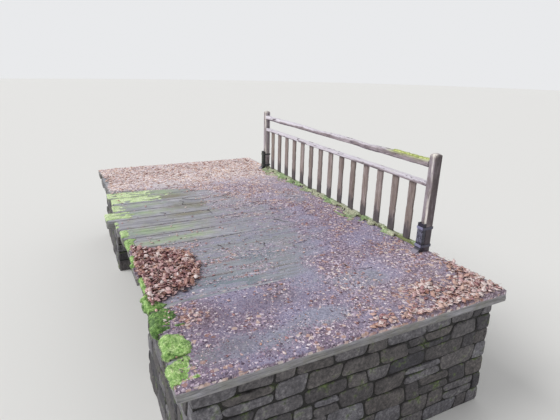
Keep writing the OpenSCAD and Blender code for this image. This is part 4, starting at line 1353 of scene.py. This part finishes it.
def courseStones(region, levels, mapPoint, width, seed):
    # Stones of rough courses over a region (start, end) of a face
    wander, slant = stoneLook["wanderMm"] / 1000, stoneLook["slantMm"] / 1000
    shortest, longest = (v / 1000 for v in stoneLook["lengthMm"])
    start, end = region
    stones = []

    def line(s, k):  # a course line wanders with the place, so that it meets its neighbour at a corner
        t = np.full(len(s), levels[k])
        if 0 < k < len(levels) - 1:
            t = t + wander * smoothNoise(mapPoint(np.column_stack([s, t]), np.zeros(len(s))), 0.22, 611, 2)
        return t

    for k in range(len(levels) - 1):
        cuts = [start]
        while end - cuts[-1] > longest:
            cuts.append(cuts[-1] + rng.uniform(shortest, longest))
        cuts += [(cuts[-1] + end) / 2, end] if end - cuts[-1] > 1.3 * shortest else [end]
        if len(cuts) > 2 and cuts[-1] - cuts[-2] < 0.6 * shortest:
            cuts.pop(-2)
        leans = [0.0] + [rng.uniform(-slant, slant) for _ in cuts[1:-1]] + [0.0]
        for j in range(len(cuts) - 1):
            low = np.linspace(cuts[j] - leans[j], cuts[j + 1] - leans[j + 1], 6)
            high = np.linspace(cuts[j + 1] + leans[j + 1], cuts[j] + leans[j], 6)
            foot, head = line(low, k), line(high, k + 1)
            wraps = ([-1] if cuts[j] < 0.01 else []) + ([1] if cuts[j + 1] > width - 0.01 else [])
            rows = [(foot, head)]
            if head.mean() - foot.mean() > 0.14 and not wraps and rng.uniform() < stoneLook["splitChance"]:
                split = foot[::-1] + (head - foot[::-1]) * rng.uniform(0.4, 0.6)
                rows = [(foot, split), (split[::-1], head)]
            for lower, upper in rows:
                outline = [*zip(low, lower), *zip(high, upper)]
                cornerS = cuts[j] if -1 in wraps else cuts[j + 1]
                corner = mapPoint(np.array([[cornerS, levels[k]]]), np.zeros(1))
                tone = 0.5 + 0.5 * latticeHash(np.round(corner * 20), 620)[0] if wraps else rng.uniform()
                points, faces = stoneMesh(outline, mapPoint, wraps, seed + len(stones))
                stones.append((points, faces, np.full(len(points), tone)))
    return stones


def abutmentStones(node, side):
    # side is 1 for the abutment at +X and -1 for the other
    low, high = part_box(node)
    batter, sideBatter = stoneLook["batterMm"] / 1000, stoneLook["sideBatterMm"] / 1000
    pocketHalf = stoneLook["pocketMm"] / 2000
    innerX, outerX = side * min(abs(low.x), abs(high.x)), side * max(abs(low.x), abs(high.x))
    seatZ = min(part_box(n)[0].z for n in logNames) + 0.02
    topZ = high.z - 0.002
    levels = [low.z]
    while seatZ - levels[-1] > 0.22:
        levels.append(levels[-1] + rng.uniform(*stoneLook["courseMm"]) / 1000)
    levels += [seatZ, seatZ + 0.55 * (topZ - seatZ), topZ]

    def at(x, y, z):  # a corner of the mass, drawn in by both batters
        rise = (z - low.z) / (high.z - low.z)
        wallX = innerX + side * batter * rise if x == "inner" else outerX
        wallY = {"left": low.y + sideBatter * rise, "right": high.y - sideBatter * rise}[y]
        return (wallX, wallY, z)

    walls = [("inner", "left", "inner", "right"), ("outer", "left", "outer", "right"),
             ("inner", "left", "outer", "left"), ("inner", "right", "outer", "right")]
    middle = np.array([(innerX + outerX) / 2, (low.y + high.y) / 2, topZ / 2])
    stones = []
    for x0, y0, x1, y1 in walls:
        corners = [at(x0, y0, low.z), at(x1, y1, low.z), at(x1, y1, topZ), at(x0, y0, topZ)]
        a, b, c, d = (np.array(p) for p in corners)
        if np.dot(np.cross(b - a, d - a), (a + c) / 2 - middle) < 0:  # so that the face's normal looks out
            corners = [corners[1], corners[0], corners[3], corners[2]]
        mapPoint, width, height = faceMap(corners)
        scale = height / (topZ - low.z)
        heights = [(z - low.z) * scale for z in levels]
        if x0 == x1 == "inner":
            stones += courseStones((0, width), heights[:-2], mapPoint, width, len(stones))
            across = sorted(abs((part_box(n)[0].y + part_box(n)[1].y) / 2 - corners[0][1]) for n in logNames)
            edges = [0] + [v + d for v in across for d in (-pocketHalf, pocketHalf)] + [width]
            for start, end in zip(edges[::2], edges[1::2]):
                stones += courseStones((start, end), heights[-3:], mapPoint, width, len(stones))
        else:
            stones += courseStones((0, width), heights, mapPoint, width, len(stones))
    points, faces, tone = mergeParts(stones)
    points[:, 2] = np.clip(points[:, 2], low.z, high.z)
    makePiece(node + "_stones", points, faces, fieldStone, (), {"tone": tone})
    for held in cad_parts[node].material_slots:
        held.material = mortarBed
    print("stage: stones", node, len(stones), len(faces))


abutmentStones("abutment_far", -1)
abutmentStones("abutment_near", 1)


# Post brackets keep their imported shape; nuts and bolt ends are added
nutLook = {"acrossMm": 17, "thickMm": 8, "sideMm": 28, "anchorAcrossMm": 18, "anchorSideMm": 46,
           "anchorInMm": 25, "footPlateMm": 10, "corners": 12}
nutRings = (  # radius as a share of the width across flats, height as a share of the nut's, hexagon or round
    (0.5, 0, True), (0.5, 0.8, True), (0.46, 1.0, False), (0.27, 1.0, False), (0.27, 1.35, False),
    (0.2, 1.45, False))


def hexNut(centre, axis, across, thick):
    # A nut with chamfered corners and the bolt's end standing out of it
    centre, axis = np.asarray(centre, dtype=float), np.asarray(axis, dtype=float)
    helper = np.array([0, 0, 1.0]) if abs(axis[2]) < 0.9 else np.array([1.0, 0, 0])
    first = np.cross(axis, helper)
    first /= np.linalg.norm(first)
    second = np.cross(axis, first)
    n = nutLook["corners"]
    angles = np.arange(n) * 2 * math.pi / n
    corner = 1 + 0.1547 * (np.arange(n) % 2 == 0)  # a hexagon's corners lie this much further out
    rings = []
    for radius, lift, hexagonal in nutRings:
        size = across * radius * (corner if hexagonal else 1)
        rings.append(centre + axis * thick * lift + (np.cos(angles) * size)[:, None] * first
                     + (np.sin(angles) * size)[:, None] * second)
    points = np.concatenate(rings + [centre[None], (centre + axis * thick * nutRings[-1][1])[None]])
    faces = ringFaces(len(rings), n, len(rings) * n, len(rings) * n + 1)
    return points, faces, np.zeros(len(points))


for node, material, centreX in (("bracket_far", farSteel, farX), ("bracket_near", nearSteel, nearX)):
    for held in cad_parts[node].material_slots:
        held.material = material
    low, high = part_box(node)
    across, thick, side, anchor, anchorSide, anchorIn, plate = (
        nutLook[k] / 1000 for k in ("acrossMm", "thickMm", "sideMm", "anchorAcrossMm", "anchorSideMm",
                                    "anchorInMm", "footPlateMm"))
    parts = [hexNut((centreX + turn * side, high.y, deckZ + z), (0, 1, 0), across, thick)
             for z in bandZs for turn in (-1, 1)]
    parts += [hexNut((centreX + turn * anchorSide, low.y + anchorIn, deckZ + plate), (0, 0, 1), anchor, thick)
              for turn in (-1, 1)]
    points, faces, _ = mergeParts(parts)
    makePiece(node + "_nuts", points, faces, material, smooth=False)
print("stage: brackets")


def driftLeaves():  # whole leaves blown against the near post and thinning out over the silt
    tries = leafLook["driftTries"]
    x = rng.uniform(nearX + 0.12, plankBoxes[-1, 3] - 0.018, tries)
    y = rng.uniform(railY - 1.6, plankBoxes[-1, 4] - 0.03, tries)
    start = np.interp(y - railY, *np.array(cover["driftEdge"]).T)
    share = ease((x - farX - start + 0.25 * smoothNoise(onPlane(x, y), 0.2, 81, 3)) / 0.3 + 0.35)
    picks = np.flatnonzero(share > 0.12 + 0.8 * rng.uniform(size=tries))[:leafKinds["drift"]["count"]]
    points, faces, marks = layLeaves("drift", x[picks], y[picks], 0.012 * share[picks])
    points[:, :2] = np.minimum(points[:, :2], plankBoxes[-1, 3:5] - 0.001)
    makeLeaves("leafDrift", deadLeaf, [(points, faces, marks)], True)


driftLeaves()

# Floor, light and background
floorMaterial, _, surface, _ = startMaterial("studioFloorPale")
surface.inputs["Base Color"].default_value = toLinear("#e6e5e2")
surface.inputs["Roughness"].default_value = 0.9
bpy.ops.mesh.primitive_circle_add(vertices=96, radius=70, fill_type="NGON")
floor = bpy.context.object
floor.name = "studioFloor"
floor.data.materials.append(floorMaterial)

lighting = {"sunStrength": 1.75, "sunSpread": 34, "from": (-0.4, -1.0, 1.15), "sky": 0.62, "backdrop": 0.9}
sun = bpy.data.lights.new("softSun", "SUN")
sun.energy = lighting["sunStrength"]
sun.angle = math.radians(lighting["sunSpread"])
sunObject = bpy.data.objects.new("softSun", sun)
sunObject.rotation_euler = (-Vector(lighting["from"])).to_track_quat("-Z", "Y").to_euler()
bpy.context.scene.collection.objects.link(sunObject)

world = bpy.data.worlds.new("studioWorld")
world.use_nodes = True
bpy.context.scene.world = world
world.node_tree.nodes.clear()
node = partial(addNode, world.node_tree)
ray = node("LightPath", out=None)
seen = node("Math", (ray.outputs["Is Camera Ray"], ray.outputs["Is Glossy Ray"]), operation="MAXIMUM")
seen = node("Math", (seen, ray.outputs["Is Transmission Ray"]), operation="MAXIMUM")
strength = node("MapRange", (seen, 0, 1, lighting["sky"], lighting["backdrop"]))
background = node("Background", {"Color": "#f4f5f7", "Strength": strength})
node("OutputWorld", {"Surface": background}, out=None)
bpy.context.scene.view_settings.view_transform = "Standard"
